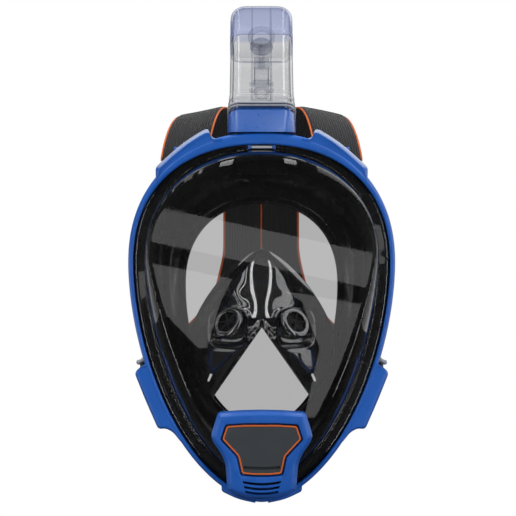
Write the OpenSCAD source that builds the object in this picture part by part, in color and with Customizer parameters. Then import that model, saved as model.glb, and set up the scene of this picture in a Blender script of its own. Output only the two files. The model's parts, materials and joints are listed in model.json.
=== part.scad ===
// Full-face snorkel mask: frame, visor, skirt, chin bracket, leaning dry-top snorkel and head harness.
// Millimetres, +Z up, the face looks towards -Y. The origin is the centre of the face seal, at the
// height where the frame is widest.

/* [Frame] */
// Width of the blue frame at its widest
frame_w = 196; // [186:1:206]
// Height of the frame above the widest level
frame_up = 95; // [90:1:100]
// Height of the frame below the widest level
frame_down = 172; // [166:1:178]
// Depth of the frame rim from front to back
rim_depth = 15; // [14:1:18]
// Thickness of the rim wall seen from the front
rim_wall = 3; // [2.5:0.25:4]

/* [Visor] */
// Thickness of the clear visor
lens_t = 2.5; // [2:0.25:3]
// Half width of the flat window
window_half = 81; // [74:1:84]

/* [Face] */
// Half width of the opening for the face
face_half = 63; // [58:1:64]
// Thickness of the soft silicone walls
silicone_t = 2; // [1.5:0.25:2.5]

/* [Snorkel] */
// Angle the snorkel leans back from upright
lean = 40; // [36:1:42]
// Width of the clear tube
tube_w = 49; // [47:1:51]
// Depth of the clear tube from front to back
tube_d = 32; // [30:1:36]
// Length of the clear tube
tube_len = 84.5; // [80:0.5:90]
// Wall of the clear tube
tube_t = 2; // [1.5:0.25:2.5]

/* [Harness] */
// Thickness of the elastic straps
strap_t = 3; // [2:0.5:3.5]
// Distance from the face seal to the back of the harness
head_depth = 142; // [135:1:150]

/* [Part] */
// Sub-part to build

/* [Hidden] */

$fn = 48;
blue = [0.08, 0.33, 0.66];
black = [0.11, 0.11, 0.12];
grey = [0.55, 0.56, 0.60];
clear = [0.80, 0.84, 0.90, 0.4];
orange = [0.82, 0.40, 0.10];
gap = 0.1;
far = 60;

// Rim plane: the frame is bent like a saddle, so its sides and top sit further back.
rim_front = -46;
side_sweep = 24;
top_sweep = 14;
chin_sweep = 4;
window_y = -60;
stations = 72;

// Smooth rise from 0 to 1.
function ease(f) = f * f * (3 - 2 * f);
function mix(a, b, f) = a + (b - a) * f;
function power(v, e) = pow(abs(v), e) * sign(v);

// Closed egg seen from the front: [x, z] at angle t, sized by half width, rise and drop.
function egg(t, half, up, down, top_pow, low_x, low_z) =
    sin(t) >= 0 ? [half * power(cos(t), top_pow), up * pow(sin(t), top_pow)]
                : [half * power(cos(t), low_x), -down * pow(-sin(t), low_z)];

// Frame outline, drawn in from the outside by inset.
function frame_egg(t, inset) =
    egg(t, frame_w / 2 - inset, frame_up - inset, frame_down - inset, 0.909, 1.126, 1.111);
function rim_y(p) = rim_front + side_sweep * pow(2 * p[0] / frame_w, 2)
    + (p[1] > 0 ? top_sweep * pow(p[1] / frame_up, 2) : chin_sweep * pow(p[1] / frame_down, 2));
function rim_pt(t, inset, dy) =
    let (p = frame_egg(t, inset)) [p[0], rim_y(frame_egg(t, 0)) + dy, p[1]];

// Edge of the flat window, opening for the face, and mouth window of the pocket.
function window_pt(t) =
    let (p = egg(t, window_half, 62, 160, 0.909, 1.2, 1.667)) [p[0], window_y, p[1] + 8];
function face_y(x) = 4 + 16 * pow(x / face_half, 2);
face_up = 65.5;
face_down = 111;
function face_pt(t, grow) =
    let (p = egg(t, face_half + grow, face_up + grow, face_down + grow, 0.9, 1, 1)) [p[0], face_y(p[0]), p[1] - 16];
// Mouth window: a tall triangle with cut lower corners, each side given by its normal angle and distance.
mouth_z = -84;
mouth_sides = [[35, 21.9], [145, 21.9], [-42, 33.7], [-138, 33.7], [-90, 27]];
function mouth_pt(t, grow) =
    let (r = min([for (s = mouth_sides) cos(t - s[0]) > 0.05 ? s[1] / cos(t - s[0]) : far]) + grow)
    [r * cos(t), 0, mouth_z + r * sin(t)];
// Where the pocket meets the face: narrow over the nose bridge, wide round the mouth.
function pocket_pt(t) =
    let (p = egg(t, 55, 69, 60, 1.25, 0.95, 0.95)) [p[0], -8 + 14 * pow(p[0] / face_half, 2), p[1] - 58];

// Closed ring: rows[i] is the closed section at station i.
module ring(rows) {
    n = len(rows);
    m = len(rows[0]);
    polyhedron(
        points = [for (row = rows) each row],
        faces = [for (i = [0 : n - 1], j = [0 : m - 1], half = [0, 1])
            let (a = i * m + j, b = i * m + (j + 1) % m,
                 c = ((i + 1) % n) * m + (j + 1) % m, d = ((i + 1) % n) * m + j)
            half == 0 ? [a, b, c] : [a, c, d]],
        convexity = 8);
}

// Closed bar: rows of one section each, flat ends.
module bar(rows) {
    n = len(rows);
    m = len(rows[0]);
    polyhedron(
        points = [for (row = rows) each row],
        faces = concat(
            [[for (j = [0 : m - 1]) j]],
            [for (i = [0 : n - 2], j = [0 : m - 1], half = [0, 1])
                let (a = i * m + j, b = i * m + (j + 1) % m, c = (i + 1) * m + (j + 1) % m, d = (i + 1) * m + j)
                half == 0 ? [a, c, b] : [a, d, c]],
            [[for (j = [m - 1 : -1 : 0]) (n - 1) * m + j]]),
        convexity = 8);
}

// Ring of the rim whose section is a list of [inset, depth] pairs.
module rim_ring(section) {
    ring([for (i = [0 : stations - 1])
        [for (s = section) rim_pt(360 * i / stations, s[0], s[1])]]);
}

module mirrored() {
    children();
    mirror([1, 0, 0]) children();
}

// Plate in the front plane: the 2D child is drawn as x and z, from y_front back by depth.
module front_plate(y_front, depth) {
    translate([0, y_front + depth, 0]) rotate([90, 0, 0]) linear_extrude(depth) children();
}

// Rounded polygon: the corners become round by the given radius.
module soft(r) {
    offset(r, $fn = 16) offset(-r) children();
}

// ---- Frame ----
ear_pin_y = -8;
ear_pin_z = 82;
ear_pin_r = 2.5;
lug_x = [46, 62];
lug_w = 5;
flange_y = -32.2;

module bezel_rim() {
    back = rim_depth - 4;
    ring([for (i = [0 : stations - 1])
        let (t = 360 * i / stations,
             lip = rim_wall + 0.8 + 5 * pow(max(0, sin(t)), 3))
        [for (s = [[1.4, -4], [lip - 0.9, -4], [lip, -2.6], [lip, -1.2], [rim_wall, -1.2],
                   [rim_wall, back], [1, back], [0, back - 1], [0, -2.6]])
            rim_pt(t, s[0], s[1])]]);
}

// Raised ear that carries the upper strap: a bevelled fin with two lugs behind it.
module ear() {
    difference() {
        union() {
            front_plate(-35, 16) soft(1.5)
                polygon([[77.5, 62], [77.5, 69.6], [42, 97.5], [38.5, 97.5], [36, 93], [34, 86], [50, 80], [66, 66]]);
            for (x = lug_x) translate([x - lug_w / 2, -20, ear_pin_z - 6]) cube([lug_w, 16.5, 9.5]);
        }
        translate([57, -36, 93]) rotate([0, 37, 0]) rotate([-32, 0, 0]) cube([far, 20, 14], center = true);
        front_plate(flange_y, 13.8) ear_clearance();
        translate([lug_x[0] - lug_w, ear_pin_y, ear_pin_z]) rotate([0, 90, 0])
            cylinder(h = lug_x[1] - lug_x[0] + 2 * lug_w, r = ear_pin_r, $fn = 32);
    }
}
// Inside edge of the rim, so nothing of the ear reaches the lens and skirt flanges.
module ear_clearance() {
    polygon([for (i = [0 : stations - 1]) frame_egg(360 * i / stations, rim_wall - 0.4)]);
}

// Housing on the side of the frame that takes the tongue of the lower strap from behind.
module side_tab() {
    difference() {
        front_plate(-34, 26) soft(2)
            polygon([[78, -76], [88, -77], [92.5, -80.8], [76, -119.5], [73.5, -122.2], [62, -123.5], [60, -117]]);
        front_plate(-35, 30) offset(0.01) ear_clearance();
        translate([stem_x, stem_y, spring_z - 0.2]) cylinder(h = 20, r = stem_r + 0.05, $fn = 24);
    }
}

// Foot of the frame below the chin, notched in the middle.
foot_low = -172.4;
module chin_foot() {
    difference() {
        front_plate(-45, 14) difference() {
            intersection() {
                translate([-29, -180]) square([58, 32]);
                translate([0, foot_low + 58]) circle(r = 58, $fn = 96);
            }
            ear_clearance();
            translate([-4.5, -180]) square([9, 180 + foot_low + 3]);
        }
    }
}

module front_bezel() {
    color(blue) difference() {
        union() {
            bezel_rim();
            mirrored() ear();
            mirrored() side_tab();
            chin_foot();
        }
        mirrored() tongue_box(0.5, 1.2, -24, -7);
    }
}

module rear_retainer() {
    color(black) rim_ring([[rim_wall + 0.2, 4.2], [11, 4.2], [11, 8.6], [10, 9.6], [rim_wall + 1, 9.6],
                           [rim_wall + 0.2, 9]]);
}

// ---- Visor ----
// Front surface rings from the flange to the flat window; the back surface is the same set further back.
function lens_pt(t, f, dy) = let (a = rim_pt(t, 12.5, -1.1), b = window_pt(t), g = pow(f, 1.4))
    [mix(a[0], b[0], g), a[1] + (b[1] - a[1]) * sin(90 * f) + dy, mix(a[2], b[2], g)];
module visor_lens() {
    steps = [0.2, 0.4, 0.6, 0.8, 1];
    n = stations;
    rows = [for (i = [0 : n - 1]) let (t = 360 * i / n) concat(
        [rim_pt(t, rim_wall + 0.2, -1.1), rim_pt(t, 12.5, -1.1)],
        [for (f = steps) lens_pt(t, f, 0)])];
    m = len(rows[0]);
    front = [for (r = rows) each r];
    back = [for (r = rows) each [for (p = r) p + [0, lens_t, 0]]];
    k = n * m;
    color(clear) difference() {
        polyhedron(
            points = concat(front, back, [[0, window_y, -20], [0, window_y + lens_t, -20]]),
            faces = [for (i = [0 : n - 1]) let (e = (i + 1) % n) each concat(
                [for (j = [0 : m - 2], half = [0, 1])
                    let (a = i * m + j, b = a + 1, c = e * m + j + 1, d = e * m + j)
                    half == 0 ? [a, b, c] : [a, c, d]],
                [for (j = [0 : m - 2], half = [0, 1])
                    let (a = k + i * m + j, b = a + 1, c = k + e * m + j + 1, d = k + e * m + j)
                    half == 0 ? [a, c, b] : [a, d, c]],
                [[i * m + m - 1, 2 * k, e * m + m - 1], [k + i * m + m - 1, k + e * m + m - 1, 2 * k + 1],
                 [i * m, e * m, k + e * m], [i * m, k + e * m, k + i * m]])],
            convexity = 8);
        translate([0, window_y - 1, purge_z]) rotate([-90, 0, 0]) cylinder(h = far / 3, r = purge_r + 0.1);
    }
}

// Clip that holds the forehead edge of the visor.
clip_w = 20;
module lens_top_clip() {
    color(grey) front_plate(-36.4, 2.4) soft(0.8) translate([-clip_w / 2, frame_up - 12.2]) square([clip_w, 3]);
}

// ---- Skirt and pocket ----
// The skirt's neck leads the breathing channels up to the snorkel socket.
neck_y = -11;
neck_low = 66;
function skirt_pt(t, f, dy) = let (a = rim_pt(t, 14, 1.6), b = face_pt(t, 0), s = sin(180 * f))
    [mix(a[0], b[0], f) * (1 + 0.05 * s), mix(a[1], b[1], f) + 9 * s + dy, mix(a[2], b[2], f) * (1 + 0.03 * s)];
module face_skirt() {
    walls = [0, 0.2, 0.4, 0.6, 0.8, 1];
    color(black) difference() {
        union() {
            ring([for (i = [0 : stations - 1]) let (t = 360 * i / stations) concat(
                [rim_pt(t, rim_wall + 0.3, 1.6)],
                [for (f = walls) skirt_pt(t, f, 0)],
                [face_pt(t, -4) + [0, -4, 0], face_pt(t, -5.5) + [0, -3, 0], face_pt(t, -1) + [0, 2.4, 0]],
                [for (f = [0.8, 0.6, 0.4, 0.2, 0]) skirt_pt(t, f, silicone_t)],
                [rim_pt(t, 13.5, 4.1), rim_pt(t, rim_wall + 0.3, 4.1)])]);
            translate([0, neck_y, neck_low]) linear_extrude(frame_up - gap - neck_low) rounded(38, 11, 3);
        }
        translate([0, neck_y, neck_low - 6]) linear_extrude(far) rounded(34, 7, 2);
    }
}

// Nose-and-mouth pocket: from the face it sweeps forward to the mouth window behind the visor.
pocket_front = window_y + lens_t + 0.3;
function pocket_at(t, f, dy) =
    let (a = pocket_pt(t), b = mouth_pt(t, 0), s = pow(f, 0.8))
    [mix(a[0], b[0], s) + 3 * sin(180 * f) * cos(t), mix(a[1], pocket_front, ease(pow(f, 0.75))) + dy,
     mix(a[2], b[2], s) + 4 * sin(180 * f)];
module orinasal_pocket() {
    walls = [for (i = [0 : 7]) i / 7];
    color(black) difference() {
        union() {
            ring([for (i = [0 : stations - 1]) let (t = 360 * i / stations) concat(
                [for (f = walls) pocket_at(t, f, 0)],
                [for (i = [7 : -1 : 0]) pocket_at(t, i / 7, silicone_t)])]);
            mirrored() valve_place() translate([0, 0, -3]) cylinder(h = 6, r = valve_r + 3.5);
        }
        mirrored() valve_place() translate([0, 0, -20]) cylinder(h = 40, r = valve_r + 1.6);
        mirrored() translate([38, 0, -84]) rotate([90, 20, 0]) linear_extrude(far) soft(1) square([3, 9], center = true);
    }
}

// ---- Valves ----
valve_r = 9;
purge_r = 10;
purge_z = -127;
// Frame of an inhale valve: +Z of the child points out of the pocket towards the eyes.
module valve_place() {
    translate([23.5, -39.5, -43.5]) rotate([0, 62, -53]) children();
}
// Round seat with a spider of spokes across the port.
module valve_seat(r, t) {
    difference() {
        cylinder(h = t, r = r + 1.5);
        translate([0, 0, -1]) cylinder(h = t + 2, r = r - 1.2);
    }
    for (a = [0, 60, 120]) rotate(a) translate([-(r - 1), -0.6, 0]) cube([2 * (r - 1), 1.2, t]);
    cylinder(h = t, r = 1.8);
}
module valve_seats() {
    color(grey) mirrored() valve_place() valve_seat(valve_r, 3);
}
// Mushroom flap of thin silicone with a domed hub.
module flap(r) {
    cylinder(h = 0.8, r = r);
    translate([0, 0, 0.8]) cylinder(h = 1, r1 = 3, r2 = 1.6);
}
module inhale_flap_right() {
    color(black) valve_place() translate([0, 0, -0.9]) mirror([0, 0, 1]) translate([0, 0, -0.8]) flap(valve_r - 0.2);
}
module inhale_flap_left() {
    mirror([1, 0, 0]) inhale_flap_right();
}
module purge_seat() {
    color(grey) translate([0, window_y + 2, purge_z]) rotate([90, 0, 0]) difference() {
        union() {
            cylinder(h = 3, r = purge_r);
            translate([0, 0, -2]) cylinder(h = 1.4, r = purge_r + 2);
            translate([0, 0, -0.7]) cylinder(h = 1, r = purge_r);
        }
        for (a = [0 : 60 : 300]) rotate(a) translate([5.4, 0, -3]) cylinder(h = 8, r = 2.1, $fn = 24);
    }
}
module purge_flap() {
    color(black) translate([0, window_y - 1.1, purge_z]) rotate([90, 0, 0]) flap(purge_r - 1);
}

// ---- Chin bracket ----
bracket_front = -71;
bracket_low = -164.8;
module bracket_outline() {
    intersection() {
        soft(2) polygon([[-30.8, -104.8], [-15.3, -103.6], [15.3, -103.6], [30.8, -104.8], [35.8, -120.5],
                         [30.1, -131.4], [25.4, -139.2], [24.6, -170], [-24.6, -170], [-25.4, -139.2],
                         [-30.1, -131.4], [-35.8, -120.5]]);
        translate([0, bracket_low + 66]) circle(r = 66, $fn = 96);
    }
}
module plate_outline() {
    soft(1.2) polygon([[-24.4, -114.1], [-11.5, -113.5], [11.5, -113.5], [24.4, -114.1], [27.5, -123.4], [16, -136.2],
                       [14.1, -147], [6.7, -148.1], [-6.7, -148.1], [-14.1, -147], [-16, -136.2], [-27.5, -123.4]]);
}
module chin_slots() {
    for (z = [-154.9, -158.3, -161.6])
        intersection() {
            translate([0, z + 60]) difference() {
                circle(r = 60.9, $fn = 120);
                circle(r = 59.3, $fn = 120);
            }
            translate([-13.4, z - 3]) square([26.8, 8]);
        }
}
module chin_bracket() {
    color(blue) difference() {
        union() {
            front_plate(bracket_front, 10) bracket_outline();
            front_plate(bracket_front + 5, 19.8) intersection() {
                bracket_outline();
                translate([-30, -170]) square([60, 9.8]);
            }
        }
        front_plate(bracket_front - 1, 4.6) offset(delta = 1.4) plate_outline();
        front_plate(bracket_front + 3, 12) offset(delta = -2) plate_outline();
        front_plate(bracket_front - 1, far) chin_slots();
        front_plate(bracket_front + 3.6, 12) translate([-15.4, -162.8]) square([30.8, 12]);
    }
}
module chin_plate() {
    color([0.18, 0.20, 0.21]) difference() {
        front_plate(bracket_front + 0.4, 3.1) offset(delta = -1.1) plate_outline();
        front_plate(bracket_front, 6) translate([-12.8, -143.9]) square([25.6, 1.6]);
    }
}
module chin_trim() {
    color(orange) front_plate(bracket_front, 3.5) difference() {
        plate_outline();
        offset(delta = -1) plate_outline();
    }
}

// ---- Snorkel: everything here is drawn upright and then leaned back by socket_place ----
socket_y = -20;
socket_z = 90;
block_top = 16.5;
spigot_top = 24;
tube_bottom = block_top + 0.3;
tube_top = tube_bottom + tube_len;
cap_top = tube_top + 38.5;
wall_x = 7.3;
module socket_place() {
    translate([0, socket_y, socket_z]) rotate([-lean, 0, 0]) children();
}
// Rounded rectangle, exact arcs at the corners.
module rounded(w, d, r) {
    for (a = [0, 1]) translate([a == 0 ? -w / 2 : -w / 2 + r, a == 0 ? -d / 2 + r : -d / 2])
        square([a == 0 ? w : w - 2 * r, a == 0 ? d - 2 * r : d]);
    for (x = [-1, 1], y = [-1, 1]) translate([x * (w / 2 - r), y * (d / 2 - r)]) circle(r);
}
module prism(z0, z1, inset, r = 9) {
    translate([0, 0, z0]) linear_extrude(z1 - z0) rounded(tube_w - 2 * inset, tube_d - 2 * inset, r - inset);
}
module snorkel_socket() {
    color(blue) difference() {
        socket_place() {
            prism(-24, block_top, -0.5);
            prism(-24, spigot_top, tube_t + 0.2);
        }
        translate([-far, -far - 20, frame_up - far]) cube([2 * far, 2 * far, far + 0.1]);
        intersection() {
            socket_place() difference() {
                prism(-24, far, tube_t + 2.4);
                for (x = [-1, 1]) translate([x * wall_x - 0.8, -far / 2, -24]) cube([1.6, far, far]);
            }
            translate([-far, -far, frame_up + 4]) cube(2 * far);
        }
        translate([-17, neck_y - 3.5, frame_up - 5]) cube([34, 7, 12]);
    }
}
module socket_gasket() {
    color([0.70, 0.71, 0.74]) socket_place() difference() {
        prism(spigot_top + 0.1, spigot_top + 2.3, tube_t + 0.2);
        prism(spigot_top - 1, spigot_top + 4, tube_t + 2.4);
    }
}
module collar_ring() {
    color(grey) socket_place() difference() {
        prism(block_top + 6, block_top + 9, -1);
        prism(block_top + 5, block_top + 10, -gap);
    }
}
module snorkel_tube() {
    color(clear) socket_place() difference() {
        prism(tube_bottom, tube_top, 0);
        prism(tube_bottom - 1, tube_top + 1, tube_t);
    }
}
module channel_walls() {
    d = tube_d - 2 * tube_t - 2 * gap;
    color(clear) socket_place() mirrored()
        translate([wall_x - 0.7, -d / 2, spigot_top + 8]) cube([1.4, d, tube_len - 22]);
}
// Two shelves across the middle channel: the lower is the float's rest, the upper guides its stem.
shelf_z = [50, 91];
module float_guide() {
    w = 2 * wall_x - 1.4 - 2 * gap;
    d = tube_d - 2 * tube_t - 2 * gap;
    color(clear) socket_place() for (z = shelf_z) difference() {
        translate([-w / 2, -d / 2, z]) cube([w, d, 2]);
        translate([0, 0, z - 1]) cylinder(h = 4, r = z == shelf_z[1] ? float_stem_r + 0.05 : 4);
        for (s = [-1, 1]) translate([-4, s * 9 - 2, z - 1]) cube([8, 4, 4]);
    }
}
module cap_profile(inset) {
    h = cap_top - tube_top;
    translate([0, tube_top - 0.9]) union() {
        translate([-(tube_w / 2 - inset), 0]) square([tube_w - 2 * inset, h - 12]);
        translate([-(tube_w / 2 - 12), 0]) square([tube_w - 24, h - inset + 1]);
        for (s = [-1, 1]) translate([s * (tube_w / 2 - 12), h - 11]) circle(12 - inset);
    }
}
module snorkel_cap() {
    color([0.62, 0.65, 0.80, 0.6]) socket_place() difference() {
        intersection() {
            prism(tube_top + 0.1, cap_top + 1, 0);
            front_plate(-far, 2 * far) cap_profile(0);
        }
        intersection() {
            prism(tube_top - 1, cap_top + 1, 1.8);
            front_plate(-far, 2 * far) translate([0, -1]) cap_profile(1.8);
        }
        for (z = [16, 20.5]) translate([-far / 2, -8, tube_top + z]) cube([far, 16, 2.6]);
    }
}
module cap_seat() {
    color(grey) socket_place() difference() {
        prism(tube_top + 11, tube_top + 13, 1.9);
        translate([0, 0, tube_top]) cylinder(h = 20, r = 7);
    }
}
// Float of the dry top: rising water lifts it, and its disc then shuts the seat in the cap.
float_low = 58;
float_high = 81;
float_stem_r = 2;
module float_body() {
    color([0.78, 0.80, 0.84]) socket_place() {
        translate([-5.6, -10, float_low]) cube([11.2, 20, float_high - float_low]);
        translate([0, 0, float_high - 1]) cylinder(h = tube_top + 2 - float_high, r = float_stem_r);
    }
}
module float_seal() {
    color(grey) socket_place() translate([0, 0, tube_top + 1 + gap / 2]) {
        cylinder(h = 1.5, r = 9);
        translate([0, 0, 1.5]) cylinder(h = 0.8, r1 = 9, r2 = 6);
    }
}

// ---- Harness ----
function bezier(a, b, c, d, f) =
    let (g = 1 - f) g * g * g * a + 3 * g * g * f * b + 3 * g * f * f * c + f * f * f * d;
function unit(v) = v / norm(v);
// Paths of the two right-hand straps; a strap is a flat band with its width set by across().
back_y = head_depth - 2;
function upper_path(f) = bezier([57, 6, 88], [50, 34, 138], [36, 118, 133], [21.5, back_y + 0.5, 56], f);
function lower_path(f) = bezier([78.5, 2, -101], [86, 52, -98], [70, 112, -72], [33, back_y - 5, -40], f);
function upper_across(f) = unit([1, -0.37 * f * f, -0.12 * sin(180 * f) - 0.1]);
function lower_across(f) = unit(mix([0.33, 0, 0.95], [0.55, -0.2, 0.8], f));
function tangent(kind, f) = let (e = 0.01, a = max(0, f - e), b = min(1, f + e))
    kind == "upper" ? unit(upper_path(b) - upper_path(a)) : unit(lower_path(b) - lower_path(a));
function strap_row(kind, f, lo, hi, t0, t1) =
    let (c = kind == "upper" ? upper_path(f) : lower_path(f),
         w = kind == "upper" ? upper_across(f) : lower_across(f),
         n = unit(cross(tangent(kind, f), w)))
    [c + lo * w + t0 * n, c + hi * w + t0 * n, c + hi * w + t1 * n, c + lo * w + t1 * n];
upper_half = 17;
lower_half = 11;
module strap(kind, lo, hi, t0, t1, from = 0, to = 1, n = 24) {
    bar([for (i = [0 : n]) strap_row(kind, mix(from, to, i / n), lo, hi, t0, t1)]);
}
module upper_strap_right() {
    color(black) strap("upper", -upper_half, upper_half, 0, strap_t);
}
module upper_strap_left() {
    mirror([1, 0, 0]) upper_strap_right();
}
module lower_strap_right() {
    color(black) strap("lower", -lower_half, lower_half, -strap_t, 0, 0.03, 1);
}
module lower_strap_left() {
    mirror([1, 0, 0]) lower_strap_right();
}
// Curved pad at the back of the head, wider where the lower straps join.
pad_t = 4;
pad_r = 62;
pad_low = -56;
pad_high = 68;
function pad_half(z) = 31 + 8 * ease(max(0, min(1, (15 - z) / 50)));
function pad_y(x) = head_depth + strap_t + 2 - pad_r + sqrt(pad_r * pad_r - x * x);
module harness_pad() {
    side = [for (z = [pad_low : 6 : pad_high]) [pad_half(z), z]];
    color(black) intersection() {
        translate([0, pad_y(0) - pad_r, pad_low]) difference() {
            cylinder(h = pad_high - pad_low, r = pad_r + pad_t, $fn = 96);
            translate([0, 0, -1]) cylinder(h = pad_high - pad_low + 2, r = pad_r, $fn = 96);
        }
        front_plate(head_depth - far / 2, far) soft(4)
            polygon(concat(side, [for (i = [len(side) - 1 : -1 : 0]) [-side[i][0], side[i][1]]]));
    }
}
module strap_piping() {
    color(orange) {
        mirrored() for (s = [-1, 1])
            strap("upper", s * (upper_half + 0.9) - 0.8, s * (upper_half + 0.9) + 0.8, 0.6, 2.2);
        mirrored() bar([for (z = [pad_low + 6 : 6 : pad_high - 6]) let (x = pad_half(z) + 0.1, y = pad_y(x))
            [[x, y + 1, z], [x + 1.6, y + 1, z], [x + 1.6, y + 2.8, z], [x, y + 2.8, z]]]);
        translate([-0.8, pad_y(0) - 0.8, pad_low + 2]) cube([1.6, 0.7, pad_high - pad_low - 4]);
    }
}
module ear_pins() {
    color(grey) mirrored() translate([lug_x[0] - 2, ear_pin_y, ear_pin_z]) rotate([0, 90, 0])
        cylinder(h = lug_x[1] - lug_x[0] + 4, r = ear_pin_r - 0.01, $fn = 32);
}
module strap_loops() {
    start = lug_x[0] + lug_w / 2 + 0.3;
    loop_w = lug_x[1] - lug_x[0] - lug_w - 0.6;
    color(black) mirrored() translate([start, ear_pin_y, ear_pin_z]) difference() {
        union() {
            rotate([0, 90, 0]) cylinder(h = loop_w, r = 5, $fn = 32);
            rotate([38, 0, 0]) translate([0, 0, -2.5]) cube([loop_w, 13, 4]);
        }
        translate([-1, 0, 0]) rotate([0, 90, 0]) cylinder(h = loop_w + 2, r = ear_pin_r + 0.06, $fn = 32);
    }
}

// ---- Release ----
// The tongue of the lower strap goes into the side housing from behind; a sprung button frees it.
stem_x = 87.3;
stem_y = -24;
stem_r = 1.9;
button_z = -71.6;
spring_z = -84.6;
spring_h = 4.4;
tongue_at = [77.5, -101];
tongue_turn = -19;
module tongue_box(grow_x, grow_z, y_front, y_back) {
    front_plate(y_front, y_back - y_front) translate(tongue_at) rotate(tongue_turn)
        square([5 + 2 * grow_x, 20 + 2 * grow_z], center = true);
}
module tongue_right() {
    color(black) difference() {
        tongue_box(0, 0, -22, 3);
        front_plate(-19, 4) translate(tongue_at) rotate(tongue_turn) square([6, 8], center = true);
    }
}
module tongue_left() {
    mirror([1, 0, 0]) tongue_right();
}
module release_button_right() {
    color(grey) {
        translate([stem_x + 2.5, stem_y + 5, button_z]) rotate([90, 0, 0]) linear_extrude(10) rounded(5.4, 6, 2.4);
        translate([stem_x, stem_y, spring_z + spring_h + 0.2]) cylinder(h = 5, r = stem_r, $fn = 24);
    }
}
module release_button_left() {
    mirror([1, 0, 0]) release_button_right();
}
// Coil of round wire: one closed bar swept along a helix.
module button_spring_right() {
    turns = 4;
    steps = 64;
    r = 1.35;
    wire = 0.3;
    color(grey) translate([stem_x, stem_y, spring_z]) bar([for (i = [0 : steps])
        let (a = 360 * turns * i / steps,
             c = [r * cos(a), r * sin(a), wire + (spring_h - 2 * wire) * i / steps])
        [for (b = [0 : 60 : 300]) c + wire * (cos(b) * [cos(a), sin(a), 0] - sin(b) * [0, 0, 1])]]);
}
module button_spring_left() {
    mirror([1, 0, 0]) button_spring_right();
}

// ---- Build ----
front_bezel();
rear_retainer();
visor_lens();
lens_top_clip();
face_skirt();
orinasal_pocket();
valve_seats();
inhale_flap_left();
inhale_flap_right();
purge_seat();
purge_flap();
chin_bracket();
chin_plate();
chin_trim();
snorkel_socket();
socket_gasket();
collar_ring();
snorkel_tube();
channel_walls();
float_guide();
snorkel_cap();
cap_seat();
float_body();
float_seal();
ear_pins();
strap_loops();
harness_pad();
upper_strap_left();
upper_strap_right();
lower_strap_left();
lower_strap_right();
strap_piping();
tongue_left();
tongue_right();
release_button_left();
release_button_right();
button_spring_left();
button_spring_right();
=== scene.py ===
"""Looks for the full-face snorkel mask: moulded blue frame, clear visor, black silicone, leaning
snorkel and elastic harness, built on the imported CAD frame. Shape helpers work in millimetres."""
import json
import math
import random

import bmesh
import bpy
from mathutils import Matrix, Vector

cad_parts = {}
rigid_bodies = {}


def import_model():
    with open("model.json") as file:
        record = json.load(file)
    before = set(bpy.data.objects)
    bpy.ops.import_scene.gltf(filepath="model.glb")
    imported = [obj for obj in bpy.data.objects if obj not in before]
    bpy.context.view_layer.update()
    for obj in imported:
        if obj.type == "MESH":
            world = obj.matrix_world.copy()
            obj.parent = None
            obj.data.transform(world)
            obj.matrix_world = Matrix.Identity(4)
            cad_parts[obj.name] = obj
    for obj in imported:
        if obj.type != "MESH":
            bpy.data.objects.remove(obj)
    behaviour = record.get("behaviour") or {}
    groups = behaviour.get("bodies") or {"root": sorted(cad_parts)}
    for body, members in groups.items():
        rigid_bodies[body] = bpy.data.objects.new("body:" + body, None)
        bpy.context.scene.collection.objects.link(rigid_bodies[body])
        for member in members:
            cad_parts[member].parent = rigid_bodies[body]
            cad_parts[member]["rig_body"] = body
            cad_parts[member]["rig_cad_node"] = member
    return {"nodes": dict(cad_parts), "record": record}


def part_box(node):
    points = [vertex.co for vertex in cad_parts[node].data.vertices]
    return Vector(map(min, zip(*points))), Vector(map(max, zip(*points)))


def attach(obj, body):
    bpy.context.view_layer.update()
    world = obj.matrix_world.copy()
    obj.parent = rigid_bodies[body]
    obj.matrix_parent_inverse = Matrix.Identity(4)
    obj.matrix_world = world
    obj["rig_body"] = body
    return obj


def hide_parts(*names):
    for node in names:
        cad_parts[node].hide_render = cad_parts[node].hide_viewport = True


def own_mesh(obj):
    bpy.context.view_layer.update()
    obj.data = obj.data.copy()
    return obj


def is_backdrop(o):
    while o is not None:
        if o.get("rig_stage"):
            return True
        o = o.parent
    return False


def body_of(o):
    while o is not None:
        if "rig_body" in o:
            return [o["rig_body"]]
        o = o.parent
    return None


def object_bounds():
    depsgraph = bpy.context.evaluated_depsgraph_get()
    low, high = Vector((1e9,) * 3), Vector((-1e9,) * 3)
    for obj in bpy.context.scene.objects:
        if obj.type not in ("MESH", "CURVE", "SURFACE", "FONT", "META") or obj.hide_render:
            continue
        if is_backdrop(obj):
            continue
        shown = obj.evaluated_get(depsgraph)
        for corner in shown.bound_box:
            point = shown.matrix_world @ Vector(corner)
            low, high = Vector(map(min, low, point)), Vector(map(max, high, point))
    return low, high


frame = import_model()
cad_box = [list(corner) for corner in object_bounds()]
MM = 0.001
random.seed(7)


def cad(node):
    """Lowest and highest corner of a CAD node, in millimetres."""
    low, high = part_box(node)
    return low / MM, high / MM


def joint(name):
    return next(j for j in frame["record"]["behaviour"]["joints"] if j["name"] == name)


# ---- Sizes taken from the frame ----
rim_low, rim_high = cad("front_bezel")
ring_low, ring_high = cad("rear_retainer")
lens_low, lens_high = cad("visor_lens")
skirt_low, skirt_high = cad("face_skirt")
HALF_W = rim_high.x
RING_INSET = HALF_W - ring_high.x
UP = ring_high.z + RING_INSET
DOWN = RING_INSET - ring_low.z
WINDOW_Y = lens_low.y
RIM_WALL = RING_INSET - 0.2
RIM_BACK = 11.0
LENS_T = 2.5

# The rim is bent like a saddle: its sides and top sit further back than its middle.
RIM_FRONT = -46.0
SIDE_SWEEP = 24.0
TOP_SWEEP = 14.0
CHIN_SWEEP = 4.0

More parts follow.
